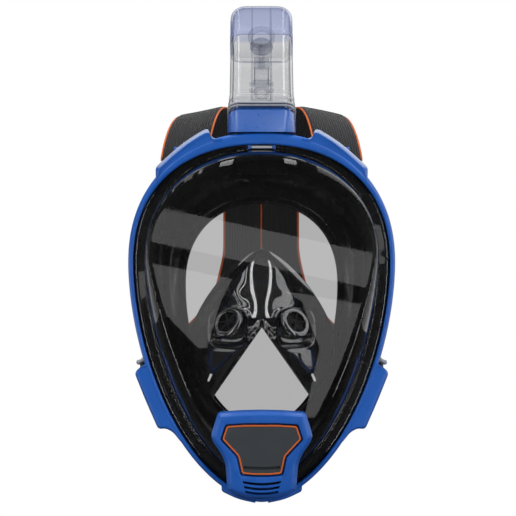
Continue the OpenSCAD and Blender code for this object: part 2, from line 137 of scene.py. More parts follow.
# Window of the visor, opening for the face, and edge of the nose-and-mouth pocket.
WINDOW_HALF = 81.0
WINDOW_UP = 62.0
WINDOW_DOWN = 160.0
WINDOW_Z = 8.0
FACE_HALF = 63.0
FACE_UP = 65.5
FACE_DOWN = 111.0


def lerp(a, b, f):
    return a + (b - a) * f


def ease(f):
    f = min(1.0, max(0.0, f))
    return f * f * (3 - 2 * f)


def spow(value, power):
    return math.copysign(abs(value) ** power, value)


def egg(t, half, up, down, top_pow, low_x, low_z):
    """Point (x, z) of a closed egg at angle t, with its own power for the top and the tail."""
    c, s = math.cos(t), math.sin(t)
    if s >= 0:
        return half * spow(c, top_pow), up * s ** top_pow
    return half * spow(c, low_x), -down * (-s) ** low_z


def rim_egg(t, inset):
    return egg(t, HALF_W - inset, UP - inset, DOWN - inset, 0.909, 1.126, 1.111)


def rim_depth(x, z):
    up = TOP_SWEEP * (z / UP) ** 2 if z > 0 else CHIN_SWEEP * (z / DOWN) ** 2
    return RIM_FRONT + SIDE_SWEEP * (x / HALF_W) ** 2 + up


def rim_point(t, inset, depth):
    x, z = rim_egg(t, inset)
    return Vector((x, rim_depth(*rim_egg(t, 0)) + depth, z))


def window_point(t):
    x, z = egg(t, WINDOW_HALF, WINDOW_UP, WINDOW_DOWN, 0.909, 1.2, 1.667)
    return Vector((x, WINDOW_Y, z + WINDOW_Z))


def face_depth(x):
    return 4 + 16 * (x / FACE_HALF) ** 2


def face_point(t, grow):
    x, z = egg(t, FACE_HALF + grow, FACE_UP + grow, FACE_DOWN + grow, 0.9, 1.0, 1.0)
    return Vector((x, face_depth(x), z - 16))


# ---- Mesh helpers ----
def new_piece(name, points, faces, material, body, replaces=(), smooth=True):
    """A mesh from points in millimetres that rides on a CAD body."""
    mesh = bpy.data.meshes.new(name)
    mesh.from_pydata([Vector(p) * MM for p in points], [], faces)
    mesh.validate()
    piece = bpy.data.objects.new(name, mesh)
    bpy.context.scene.collection.objects.link(piece)
    repair = bmesh.new()
    repair.from_mesh(mesh)
    bmesh.ops.remove_doubles(repair, verts=repair.verts, dist=1e-6)
    bmesh.ops.recalc_face_normals(repair, faces=repair.faces)
    repair.to_mesh(mesh)
    repair.free()
    for face in mesh.polygons:
        face.use_smooth = smooth
    mesh.materials.append(material)
    if body:
        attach(piece, body)
    if replaces:
        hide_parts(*replaces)
    return piece


def grid_faces(rows, cols, wrap_rows=False, wrap_cols=False, start=0):
    faces = []
    for i in range(rows if wrap_rows else rows - 1):
        for j in range(cols if wrap_cols else cols - 1):
            a = start + i * cols + j
            b = start + i * cols + (j + 1) % cols
            c = start + ((i + 1) % rows) * cols + (j + 1) % cols
            d = start + ((i + 1) % rows) * cols + j
            faces.append((a, b, c, d))
    return faces


def loft(name, rows, material, body, replaces=(), wrap_rows=True, wrap_cols=True, caps=False):
    """Skin through rows of points; wraps close the skin along either way, caps close open ends."""
    cols = len(rows[0])
    points = [p for row in rows for p in row]
    faces = grid_faces(len(rows), cols, wrap_rows, wrap_cols)
    if caps:
        faces.append(tuple(range(cols)))
        faces.append(tuple(range(len(points) - cols, len(points))))
    return new_piece(name, points, faces, material, body, replaces)


def rounded_path(corners, radius, steps=4, closed=True):
    """The 2D corners with each one turned into an arc; radius is one number or one per corner."""
    count = len(corners)
    out = []
    for i, corner in enumerate(corners):
        r = radius[i] if isinstance(radius, (list, tuple)) else radius
        here = Vector(corner)
        if r <= 0 or (not closed and i in (0, count - 1)):
            out.append(tuple(here))
            continue
        before = Vector(corners[i - 1]) - here
        after = Vector(corners[(i + 1) % count]) - here
        reach = min(r, 0.48 * before.length, 0.48 * after.length)
        start = here + before.normalized() * reach
        end = here + after.normalized() * reach
        for k in range(steps + 1):
            f = k / steps
            out.append(tuple(start.lerp(here, f).lerp(here.lerp(end, f), f)))
    return out


def plate(name, outline, y_front, y_back, material, body, replaces=()):
    """Solid plate whose 2D outline is in x and z."""
    count = len(outline)
    points = [(x, y, z) for y in (y_front, y_back) for x, z in outline]
    faces = grid_faces(2, count, False, True)
    faces.append(tuple(range(count)))
    faces.append(tuple(range(count, 2 * count)))
    return new_piece(name, points, faces, material, body, replaces, smooth=False)


def apply_modifier(piece, modifier):
    """Turns the modifier's result into the piece's own mesh."""
    graph = bpy.context.evaluated_depsgraph_get()
    mesh = bpy.data.meshes.new_from_object(piece.evaluated_get(graph))
    piece.modifiers.remove(modifier)
    piece.data = mesh


def cut(piece, *cutters, operation="DIFFERENCE"):
    """Boolean with each cutter, which is then thrown away."""
    for cutter in cutters:
        step = piece.modifiers.new("cut", "BOOLEAN")
        step.operation = operation
        step.solver = "EXACT"
        step.object = cutter
        bpy.context.view_layer.update()
        apply_modifier(piece, step)
        bpy.data.objects.remove(cutter)
    return piece


def soften(piece, width=0.5, segments=3, angle=35):
    """Rounds the hard edges and shades the faces smoothly between them."""
    bevel = piece.modifiers.new("round", "BEVEL")
    bevel.width = width * MM
    bevel.segments = segments
    bevel.limit_method = "ANGLE"
    bevel.angle_limit = math.radians(angle)
    bevel.harden_normals = True
    for face in piece.data.polygons:
        face.use_smooth = True
    return piece


def mirror_x(piece, name, body=None):
    """A mirrored copy of the piece on the other side."""
    mesh = piece.data.copy()
    mesh.transform(Matrix.Scale(-1, 4, (1, 0, 0)))
    mesh.flip_normals()
    twin = bpy.data.objects.new(name, mesh)
    bpy.context.scene.collection.objects.link(twin)
    for source in piece.modifiers:
        copy = twin.modifiers.new(source.name, source.type)
        for field in source.bl_rna.properties:
            if not field.is_readonly:
                setattr(copy, field.identifier, getattr(source, field.identifier))
    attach(twin, body or body_of(piece)[0])
    return twin


# ---- Materials ----
class Shader:
    """One node material, with short ways to add the nodes the finishes below share."""

    def __init__(self, name):
        self.material = bpy.data.materials.new(name)
        self.material.use_nodes = True
        self.nodes = self.material.node_tree.nodes
        self.links = self.material.node_tree.links
        self.bsdf = self.nodes["Principled BSDF"]
        self.output = self.nodes["Material Output"]
        self.place = self.add("ShaderNodeTexCoord").outputs["Object"]

    def add(self, kind, values=None, **settings):
        """A node; settings are its properties, and values fill inputs by name or number."""
        node = self.nodes.new(kind)
        for key, value in settings.items():
            setattr(node, key, value)
        for key, value in (values or {}).items():
            if isinstance(value, bpy.types.NodeSocket):
                self.links.new(value, node.inputs[key])
            else:
                node.inputs[key].default_value = value
        return node

    def noise(self, size_mm, detail=3.0, rough=0.5):
        """Noise whose blotches are about size_mm across."""
        values = {"Vector": self.place, "Scale": 1 / (size_mm * MM), "Detail": detail, "Roughness": rough}
        return self.add("ShaderNodeTexNoise", values).outputs["Fac"]

    def spread(self, fac, low, high, start=0.3, end=0.7):
        """Maps the noise's middle range onto low to high."""
        values = {0: fac, 1: start, 2: end, 3: low, 4: high}
        return self.add("ShaderNodeMapRange", values).outputs[0]

    def blend(self, fac, first, second):
        node = self.add("ShaderNodeMix", data_type="RGBA")
        for socket, value in zip((node.inputs[0], node.inputs[6], node.inputs[7]), (fac, first, second)):
            if isinstance(value, bpy.types.NodeSocket):
                self.links.new(value, socket)
            else:
                socket.default_value = value
        return node.outputs[2]

    def math(self, operation, a, b=0.0):
        return self.add("ShaderNodeMath", {0: a, 1: b}, operation=operation).outputs[0]

    def bump(self, height, depth_mm, strength=1.0, below=None):
        values = {"Height": height, "Distance": depth_mm * MM, "Strength": strength}
        if below:
            values["Normal"] = below
        return self.add("ShaderNodeBump", values).outputs["Normal"]

    def set(self, **values):
        """Fills inputs of the main shader; underscores in the names stand for spaces."""
        for key, value in values.items():
            socket = self.bsdf.inputs[key.replace("_", " ")]
            if isinstance(value, bpy.types.NodeSocket):
                self.links.new(value, socket)
            else:
                socket.default_value = value
        return self.material


def rgb(r, g, b):
    """Display colour from 0 to 255 as the linear colour the shader takes."""
    def linear(c):
        c /= 255
        return c / 12.92 if c <= 0.04045 else ((c + 0.055) / 1.055) ** 2.4
    return (linear(r), linear(g), linear(b), 1.0)


def moulded(name, colour, rough, grain_mm=0.35, grain_depth=0.012, coat=0.0, worn=0.25, painted_top_sheen=0.0):
    """Injection-moulded plastic: spark-eroded grain, slow colour drift, handling marks, paler worn edges.
    The last argument sets how far faces that look upwards are painted pale, a painted highlight standing in for the
    overhead light."""
    s = Shader(name)
    drift = s.spread(s.noise(38, 2), 0.0, 1.0)
    darker = tuple(c * 0.86 for c in colour[:3]) + (1.0,)
    edge = tuple(min(1.0, c * 1.25 + 0.03) for c in colour[:3]) + (1.0,)
    base = s.blend(drift, darker, colour)
    sharp = s.spread(s.add("ShaderNodeNewGeometry").outputs["Pointiness"], 0.0, worn, 0.52, 0.60)
    base = s.blend(s.math("MULTIPLY", sharp, s.noise(6, 4)), base, edge)
    # Painted highlight: faces that look upwards are blended towards pale blue-grey in place of the overhead light's
    # sheen.
    if painted_top_sheen:
        facing = s.add("ShaderNodeSeparateXYZ", {0: s.add("ShaderNodeNewGeometry").outputs["Normal"]}).outputs[2]
        base = s.blend(s.spread(facing, 0.0, painted_top_sheen, 0.25, 0.5), base, rgb(158, 166, 184))
    grain = s.bump(s.noise(grain_mm, 2), grain_depth)
    flow = s.bump(s.noise(22, 1), 0.10, 0.35, below=grain)
    marks = s.spread(s.noise(9, 5, 0.7), rough - 0.06, rough + 0.08)
    return s.set(Base_Color=base, Roughness=marks, Normal=flow, Coat_Weight=coat, Coat_Roughness=0.12)


def silicone(name, colour, rough, gloss, texture=1.0, polish=1.5):
    """Black liquid silicone: a soft skin sheen with faint bloom, dust and slow waves in the surface.
    Texture scales the fine relief, and polish is how strongly the skin mirrors its surroundings."""
    s = Shader(name)
    bloom = s.spread(s.noise(16, 4, 0.65), 0.0, 0.55 * texture, 0.45, 0.8)
    pale = tuple(c * 1.9 + 0.004 for c in colour[:3]) + (1.0,)
    base = s.blend(bloom, colour, pale)
    waves = s.bump(s.noise(30, 1), 0.30 * texture, 0.5)
    skin = s.bump(s.noise(0.6, 2), 0.006 * texture, 0.6, below=waves)
    shine = s.spread(s.noise(12, 4), rough - 0.04, rough + 0.07)
    return s.set(Base_Color=base, Roughness=shine, Normal=skin, Coat_Weight=gloss, Coat_Roughness=0.04,
                 Coat_IOR=polish, Sheen_Weight=0.08 * texture, Specular_IOR_Level=0.45)


def clear(name, face, edge, rough=0.03, reflect=1.0, waves=0.05, smoke=1.0):
    """Thin clear plastic: tinted by how obliquely it is seen, with a polished reflection on its outside.
    Only the camera sees the tint and the smoke; light passes almost freely to what lies behind."""
    s = Shader(name)
    ripple = s.bump(s.noise(26, 1), waves, 0.5)
    facing = s.add("ShaderNodeLayerWeight", {"Blend": 0.32, "Normal": ripple}).outputs["Facing"]
    tint = s.blend(s.math("POWER", facing, 1.6), face, edge)
    smoked = s.add("ShaderNodeMix", {6: tint, 7: (smoke, smoke, smoke, 1), 0: 1.0}, data_type="RGBA",
                   blend_type="MULTIPLY").outputs[2]
    seen = s.add("ShaderNodeLightPath").outputs["Is Camera Ray"]
    tint = s.blend(seen, (0.97, 0.97, 0.97, 1), smoked)
    through = s.add("ShaderNodeBsdfTransparent", {"Color": tint}).outputs[0]
    smear = s.spread(s.noise(14, 4, 0.6), rough, rough + 0.035, 0.5, 0.8)
    shine = s.add("ShaderNodeBsdfGlossy", {"Color": (1, 1, 1, 1), "Roughness": smear, "Normal": ripple})
    fresnel = s.add("ShaderNodeFresnel", {"IOR": 1.5, "Normal": ripple}).outputs[0]
    outside = s.math("SUBTRACT", 1.0, s.add("ShaderNodeNewGeometry").outputs["Backfacing"])
    amount = s.math("MULTIPLY", s.math("MULTIPLY", fresnel, reflect), outside)
    mix = s.add("ShaderNodeMixShader", {0: amount, 1: through, 2: shine.outputs[0]})
    s.links.new(mix.outputs[0], s.output.inputs["Surface"])
    s.material.node_tree.nodes.remove(s.bsdf)
    return s.material


def webbing(name, colour, rib_mm, depth_mm, painted_glint=0.35):
    """Elastic fabric: cords along the strap, a finer knit across them, loose fuzz and a soft sheen.
    It reads the strap's own map, whose two axes are millimetres along and across."""
    s = Shader(name)
    split = s.add("ShaderNodeSeparateXYZ", {0: s.add("ShaderNodeUVMap", uv_map="weave").outputs[0]})
    along, across = split.outputs[0], split.outputs[1]
    cords = s.math("COSINE", s.math("MULTIPLY", across, math.tau / rib_mm))
    knit = s.math("SINE", s.math("MULTIPLY", along, math.tau / (0.8 * rib_mm)))
    height = s.math("ADD", cords, s.math("MULTIPLY", knit, 0.2))
    fuzz = s.noise(0.5, 4, 0.7)
    # Painted glint: the cord crests are painted paler and the grooves darker, standing in for light on the crests and
    # shade between them.
    painted_crest_light = s.spread(cords, 0.45, 1.0, -1.0, 0.4)
    tone = s.math("MULTIPLY", painted_crest_light, s.spread(s.noise(7, 5), 0.75, 1.1))
    pale = tuple(c * 2.6 + 0.01 for c in colour[:3]) + (1.0,)
    base = s.blend(s.math("MULTIPLY", tone, painted_glint), colour, pale)
    relief = s.bump(height, depth_mm, 0.8)
    hair = s.bump(fuzz, 0.05, 0.6, below=relief)
    return s.set(Base_Color=base, Roughness=s.spread(fuzz, 0.72, 0.95), Normal=hair, Sheen_Weight=0.10,
                 Sheen_Roughness=0.4)


def brushed(name, colour, rough):
    """Bright metal with fine lengthwise scratches."""
    s = Shader(name)
    stretch = s.add("ShaderNodeMapping", {"Vector": s.place, "Scale": (60, 900, 900)}).outputs[0]
    lines = s.add("ShaderNodeTexNoise", {"Vector": stretch, "Scale": 2.0, "Detail": 3.0}).outputs["Fac"]
    return s.set(Base_Color=colour, Metallic=1.0, Roughness=s.spread(lines, rough, rough + 0.2),
                 Normal=s.bump(lines, 0.01, 0.5))


BLUE = moulded("blue_moulded", rgb(8, 84, 172), 0.34, coat=0.25)
# The ears' blue, with a painted highlight of the overhead light on their upward faces.
BLUE_EAR_PAINTED_SHEEN = moulded("blue_ear_painted_sheen", rgb(8, 84, 172), 0.34, coat=0.25, painted_top_sheen=0.75)
BLUE_DEEP = moulded("blue_socket", rgb(30, 78, 150), 0.30, coat=0.3)
PLATE = moulded("plate_moulded", rgb(52, 57, 61), 0.46, grain_mm=0.5, grain_depth=0.02)
BLACK = moulded("black_moulded", rgb(26, 27, 29), 0.42)
GREY = moulded("grey_moulded", rgb(150, 152, 158), 0.32, coat=0.2)
ORANGE = moulded("orange_trim", rgb(205, 94, 24), 0.40, worn=0.1)
SKIN = silicone("black_silicone", rgb(22, 22, 23), 0.26, 0.25)
SKIN_GLOSS = silicone("glossy_silicone", rgb(22, 22, 23), 0.26, 1.0, texture=0.10, polish=4.0)
SEAL = silicone("grey_seal", rgb(186, 187, 192), 0.4, 0.1)
PALE_SEAL = clear("seal_clear", (0.80, 0.81, 0.85, 1), (0.5, 0.52, 0.6, 1), 0.2, 0.8, 0.1)
VISOR = clear("visor_clear", (0.97, 0.97, 0.975, 1), (0.55, 0.57, 0.62, 1), 0.012, 1.0, 0.01, smoke=0.69)
TUBE = clear("tube_clear", (0.915, 0.917, 0.92, 1), (0.48, 0.49, 0.52, 1), 0.05, 0.9, 0.08)
INNER = clear("inner_clear", (0.93, 0.935, 0.95, 1), (0.52, 0.54, 0.60, 1), 0.10, 0.8, 0.1)
CAP = clear("cap_tinted", (0.82, 0.84, 0.91, 1), (0.42, 0.45, 0.60, 1), 0.14, 0.8, 0.1)
STRAP_RIB = 1.5
STRAP = webbing("strap_fabric", rgb(31, 31, 32), STRAP_RIB, 0.20, 0.22)
PAD = webbing("pad_fabric", rgb(30, 30, 31), 2.2, 0.25, 0.22)
STEEL = brushed("steel_brushed", (0.62, 0.62, 0.64, 1), 0.22)


# ---- Frame, retainer and visor ----
STATIONS = 240
LIP_FRONT = -4.0
LIP_BACK = -1.2


def turn(i, count=STATIONS):
    return math.tau * i / count


def lip_reach(t):
    """How far the blue lip covers the visor: narrow at the sides, broad over the forehead."""
    return RIM_WALL + 0.8 + 5.0 * max(0.0, math.sin(t)) ** 3


def make_rim():
    """Frame rim: a rounded channel with a soft crease along its front."""
    rows = []
    for i in range(STATIONS):
        t = turn(i)
        lip = lip_reach(t)
        section = rounded_path(
            [(0, LIP_FRONT + 2.0), (0, RIM_BACK), (RIM_WALL, RIM_BACK), (RIM_WALL, LIP_BACK), (lip, LIP_BACK),
             (lip, LIP_FRONT + 1.0), (lip - 0.8, LIP_FRONT + 0.2), (0.45 * lip, LIP_FRONT), (1.2, LIP_FRONT + 0.6)],
            [0.8, 0.8, 0.8, 0.1, 0.3, 0.5, 0.6, 1.2, 0.9], 3)
        rows.append([rim_point(t, inset, depth) for inset, depth in section])
    loft("bezel_rim", rows, BLUE, "mask", ["front_bezel"])


def rim_angle(x, z):
    """Angle t at which the rim lies in the direction of (x, z), by halving."""
    target = math.atan2(z, x)
    low, high = -math.pi / 2, math.pi / 2
    for _ in range(30):
        middle = (low + high) / 2
        rx, rz = rim_egg(middle, 0)
        if math.atan2(rz, rx) < target:
            low = middle
        else:
            high = middle
    return low


def shoulder(name, outline, back, chamfer, crease, material=BLUE):
    """A block that grows out of the rim to an outline in x and z, flush with the rim's curved front.
    Makes the right-hand one and its mirror image."""
    rows = []
    for x, z in outline:
        t = rim_angle(x, z)
        base = rim_point(t, 2.2, 0)
        crest = Vector((x, base.y, z))
        reach = (crest - base).length

        def at(inward, depth):
            point = crest.lerp(base, min(1.0, inward / max(reach, 0.01)))
            return point + Vector((0, depth, 0))
        face = LIP_FRONT - 0.3
        rows.append([base + Vector((0, face + 0.8, 0)), at(0.65 * reach, face + crease), at(0.4 * reach, face + 0.2 * crease),
                     at(chamfer + 0.6, face), at(chamfer, face + 0.15), at(0.35 * chamfer, face + 0.75 * chamfer),
                     at(0, face + 1.3 * chamfer), at(0, 0.5 * back), at(0, back - 1), at(0.8, back),
                     base + Vector((0, back, 0))])
    right = loft(name + "_right", rows, material, "mask", wrap_rows=False, caps=True)
    soften(right, 0.35, 2, 50)
    mirror_x(right, name + "_left")


def make_shoulders():
    crest = [(lerp(77.4, 42.0, f), lerp(69.8, 97.2, f) + 2.4 * math.sin(math.pi * f)) for f in (0.25, 0.5, 0.75)]
    ear = [(77.6, 61.2), (77.6, 70.2)] + crest + [(42.0, 97.2), (38.9, 97.6), (37.6, 93.2), (34.5, 90.6), (29.5, 91.4)]
    shoulder("ear", rounded_path(ear, [0, 2.4, 8, 8, 8, 3, 1.6, 2.2, 2.4, 0], 6, closed=False), 12, 2.6, 0.8, BLUE_EAR_PAINTED_SHEEN)
    housing = [(85.8, -76.2), (90.6, -77.2), (92.6, -80.6), (84.8, -99.4), (75.8, -119.2), (74.0, -120.4),
               (69.4, -120.0), (64.2, -122.6), (58.8, -129.2)]
    shoulder("side_housing", rounded_path(housing, [0, 2.0, 2.4, 4, 1.2, 1.2, 2.5, 5, 0], 6, closed=False), 18, 1.6, 0.5)
    foot = [(31.0, -155.0), (29.2, -156.4), (28.9, -164.2), (17.0, -169.8), (4.5, -172.3), (4.5, -168.6)]
    shoulder("chin_foot", rounded_path(foot, [0, 1.5, 1.8, 20, 0.6, 0], 6, closed=False), 9, 0.9, 0.1)


def rounded_box(name, low, high, material, body, radius=0.8, replaces=()):
    """A box with rounded edges, from its two corners in millimetres."""
    (x0, y0, z0), (x1, y1, z1) = low, high
    corners = rounded_path([(x0, z0), (x1, z0), (x1, z1), (x0, z1)], radius, 5)
    return soften(plate(name, corners, y0, y1, material, body, replaces), 0.4 * radius, 3, 40)


def make_lugs():
    """Two cheeks behind each ear that hold its strap pin."""
    low, high = cad("ear_pins")
    pin_y, pin_z = (low.y + high.y) / 2, (low.z + high.z) / 2
    for side in (-1, 1):
        for i, x in enumerate((46.0, 62.0)):
            name = f"pin_lug_{'left' if side < 0 else 'right'}_{i + 1}"
            face = rounded_path([(pin_y - 13, pin_z - 6), (pin_y + 2, pin_z - 6), (pin_y + 4.5, pin_z - 1),
                                 (pin_y + 4.5, pin_z + 2), (pin_y + 1, pin_z + 3.5), (pin_y - 13, pin_z + 3.5)], 2.5, 5)
            points = [(side * x + dx, y, z) for dx in (-2.5, 2.5) for y, z in face]
            count = len(face)
            faces = grid_faces(2, count, False, True) + [tuple(range(count)), tuple(range(count, 2 * count))]
            soften(new_piece(name, points, faces, BLUE, "mask", smooth=False), 0.5, 3, 50)


def make_retainer():
    rows = []
    section = rounded_path([(RING_INSET, 4.2), (RING_INSET, 9.6), (11.0, 9.6), (11.0, 4.2)], [0.2, 0.8, 1.0, 0.2], 3)
    for i in range(STATIONS):
        rows.append([rim_point(turn(i), inset, depth) for inset, depth in section])
    loft("retainer_ring", rows, BLACK, "mask", ["rear_retainer"])


LENS_STEPS = 18


def lens_point(t, f):
    """Point of the visor's front: f runs from the inner edge of the flange to the flat window."""
    outer, inner = rim_point(t, 12.5, -1.1), window_point(t)
    across = f ** 1.4
    depth = math.sin(math.pi / 2 * f)
    return Vector((lerp(outer.x, inner.x, across), lerp(outer.y, inner.y, depth), lerp(outer.z, inner.z, across)))


def make_visor():
    """Clear visor: a flange under the blue lip, a rounded step forward and a flat window."""
    rows = []
    thick = Vector((0, LENS_T, 0))
    centre = Vector((0, WINDOW_Y, -20))
    for i in range(STATIONS):
        t = turn(i)
        front = [rim_point(t, inset, -1.1) for inset in (RING_INSET, 7.5, 11.8)]
        front += [lens_point(t, k / LENS_STEPS) for k in range(LENS_STEPS + 1)]
        edge = front[-1]
        front += [edge.lerp(centre, f) for f in (0.03, 0.3, 0.7, 1.0)]
        rows.append(front + [p + thick for p in reversed(front)])
    loft("visor", rows, VISOR, "mask", ["visor_lens"])


def make_top_clip():
    """Pale clip under the forehead lip, between two dark blue pegs."""
    low, high = cad("lens_top_clip")
    half, peg = high.x, 2.2
    rounded_box("top_clip", (-half + peg + 0.3, low.y + 0.2, low.z + 0.5), (half - peg - 0.3, high.y, low.z + 2.2), GREY, "mask",
                0.5, ["lens_top_clip"])
    for side in (-1, 1):
        x = side * (half - peg / 2)
        rounded_box(f"clip_peg_{'left' if side < 0 else 'right'}", (x - peg / 2, low.y, low.z), (x + peg / 2, high.y, high.z - 0.3),
                    BLUE_DEEP, "mask", 0.4)


# ---- Silicone ----
def skirt_point(t, f, depth):
    outer, inner = rim_point(t, 14, 1.6), face_point(t, 0)
    swell = math.sin(math.pi * f)
    return Vector((lerp(outer.x, inner.x, f) * (1 + 0.05 * swell), lerp(outer.y, inner.y, f) + 9 * swell + depth,
                   lerp(outer.z, inner.z, f) * (1 + 0.03 * swell)))


def make_skirt():
    """Face skirt: clamped flange, bellows wall and a thin double lip that seals on the face."""
    steps = 20
    wall = 2.0
    rows = []
    for i in range(STATIONS):
        t = turn(i)
        front = [rim_point(t, RING_INSET + 0.1, 1.6), rim_point(t, 9, 1.6)]
        for k in range(steps + 1):
            f = k / steps
            pleat = 0.7 * math.sin(3 * math.tau * f) * math.sin(math.pi * f)
            front.append(skirt_point(t, f, pleat))
        lip = [face_point(t, -2) + Vector((0, -2.4, 0)), face_point(t, -4) + Vector((0, -4, 0)),
               face_point(t, -5.2) + Vector((0, -4.2, 0)), face_point(t, -5.5) + Vector((0, -3.2, 0)),
               face_point(t, -3.2) + Vector((0, 0.2, 0)), face_point(t, -1) + Vector((0, 2.4, 0))]
        back = []
        for k in range(steps - 1, -1, -1):
            f = k / steps
            pleat = 0.7 * math.sin(3 * math.tau * f) * math.sin(math.pi * f)
            back.append(skirt_point(t, f, wall + pleat))
        back += [rim_point(t, 13.5, 4.1), rim_point(t, RING_INSET + 0.1, 4.1)]
        rows.append(front + lip + back)
    loft("skirt", rows, SKIN, "mask", ["face_skirt"])


def make_neck():
    """Flat neck of the skirt, whose two walls carry the breathing channels up to the socket."""
    low, high = 66.0, UP - 0.3
    rows = []
    for z, w, d, r in ((low, 19, 5.5, 3), (high, 19, 5.5, 3), (high, 17, 3.5, 2), (low, 17, 3.5, 2)):
        rows.append([(x, y - 11, z) for x, y in rounded_path([(w, -d), (w, d), (-w, d), (-w, -d)], r, 6)])
    loft("skirt_neck", rows, SKIN, "mask")


def bump2(x, z, cx, cz, wx, wz):
    """Smooth hill of height 1 centred at (cx, cz)."""
    return math.exp(-((x - cx) / wx) ** 2 - ((z - cz) / wz) ** 2)


MOUTH_Z = -84.0
MOUTH_SIDES = ((35, 21.9), (145, 21.9), (-42, 33.7), (-138, 33.7), (-90, 27.0))


def mouth_point(t, grow=0.0):
    """Mouth window: a tall triangle with cut lower corners; each side has a normal angle and a distance."""
    reach = []
    for angle, distance in MOUTH_SIDES:
        facing = math.cos(t - math.radians(angle))
        if facing > 0.05:
            reach.append(distance / facing)
    r = min(reach) + grow
    return Vector((r * math.cos(t), 0, MOUTH_Z + r * math.sin(t)))


def pocket_edge(t):
    """Where the pocket meets the face: narrow over the nose bridge, wide round the mouth."""
    x, z = egg(t, EDGE_HALF, EDGE_UP, 60, EDGE_POWER, 0.95, 0.95)
    return Vector((x, -8 + 14 * (x / FACE_HALF) ** 2, z + EDGE_Z))


EDGE_POWER = 1.4
EDGE_HALF = 55.0
EDGE_UP = 69.0
EDGE_Z = -58.0
BRIDGE_Z = EDGE_Z + EDGE_UP
VALVE_WELL = (24.5, -47.5, 14.0, 13.5)


def nose_line(f):
    """Share of the way forward at f from the nose bridge to the mouth: an even slope, then a ledge."""
    return 0.78 * f ** 0.8 + 0.22 * f ** 12


def nose_depth(x, z, face_y, front):
    """Smooth dome over the nose: flat across the bridge, rounder towards the tip."""
    share = min(1.0, max(0.0, (z - EDGE_Z) / EDGE_UP))
    half = EDGE_HALF * (1.0001 - share ** (2 / EDGE_POWER)) ** (EDGE_POWER / 2)
    down = min(1.0, max(0.0, (BRIDGE_Z - z) / 57))
    crest = lerp(-8, front, nose_line(down))
    flatness = 1.9 + 1.5 * ease((z + 38) / 46)
    return lerp(crest, face_y, min(1.0, abs(x) / half) ** flatness)


def pocket_relief(x, z):
    """Depth added to the pocket: two nostril wings, and a lipped well for each valve."""
    cx, cz, wx, wz = VALVE_WELL
    wing = bump2(abs(x), z, 21, -24, 7, 8)
    rim = ((abs(x) - cx) / wx) ** 4 + ((z - cz) / wz) ** 4
    well = 1 - ease((rim - 0.35) / 0.7)
    lip = math.exp(-((rim - 1.35) / 0.45) ** 2)
    return -2.2 * wing + 9.0 * well - 1.2 * lip


def pocket_point(t, f, depth):
    outer, inner = pocket_edge(t), mouth_point(t)
    front = WINDOW_Y + LENS_T + 0.6
    x = lerp(outer.x, inner.x, f) + 2 * math.sin(math.pi * f) * math.cos(t)
    z = lerp(outer.z, inner.z, f)
    cone = lerp(outer.y, front, nose_line(f))
    dome = nose_depth(x, z, outer.y, front)
    y = lerp(cone, dome, ease((z + 62) / 22) * ease(6 * (1 - f)))
    y = max(front, y + depth + pocket_relief(x, z) * ease(25 * f) * ease(14 * (1 - f)))
    return Vector((x, y, z))


def make_pocket():
    """Nose-and-mouth pocket in glossy silicone, from the face forward to the mouth window."""
    steps = 80
    rows = []
    for i in range(STATIONS):
        t = turn(i)
        front = [pocket_point(t, k / steps, 0) for k in range(steps + 1)]
        back = [pocket_point(t, k / steps, 0) + Vector((0, 2, 0)) for k in range(steps, -1, -1)]
        rows.append(front + back)
    cup = loft("orinasal_cup", rows, SKIN_GLOSS, "mask", ["orinasal_pocket"])
    for side in (-1, 1):
        slot = rounded_path([(side * (37.7 + dx), -83.3 + dz) for dx, dz in ((-2.0, 2.6), (-0.4, 3.2), (1.9, -2.2), (0.6, -3.0))], 0.7)
        cut(cup, plate("slot", slot, WINDOW_Y, 20, SKIN, None))
    for face in cup.data.polygons:
        face.use_smooth = True
    return cup


def ring_solid(name, profile, place, material, body, replaces=(), count=48):
    """Turns a closed profile of (radius, height) about the local Z axis, then places it."""
    rows = []
    for i in range(count):
        a = turn(i, count)
        rows.append([place @ Vector((r * math.cos(a), r * math.sin(a), h)) for r, h in profile])
    return loft(name, rows, material, body, replaces)


def disc_profile(radius, low, high, edge, hub=0.0):
    """Half section of a disc with a rounded rim; it starts and ends on the axis."""
    corners = [(0.01, low), (radius, low), (radius, high), (0.35 * radius, high), (0.18 * radius, high + hub), (0.01, high + hub)]
    return rounded_path(corners, [0, edge, edge, 0.5, 0.4, 0], 3)


def valve_matrix(side):
    """Frame of an inhale valve: its local +Z points out of the pocket towards the eyes."""
    axis = Vector(joint("inhale_lift_right")["axis"]) * -1
    out = Vector((side * axis.x, axis.y, axis.z))
    low, high = cad("inhale_flap_right" if side > 0 else "inhale_flap_left")
    centre = (low + high) / 2 + out * 1.0
    return Matrix.Translation(centre) @ out.to_track_quat("Z", "Y").to_matrix().to_4x4()


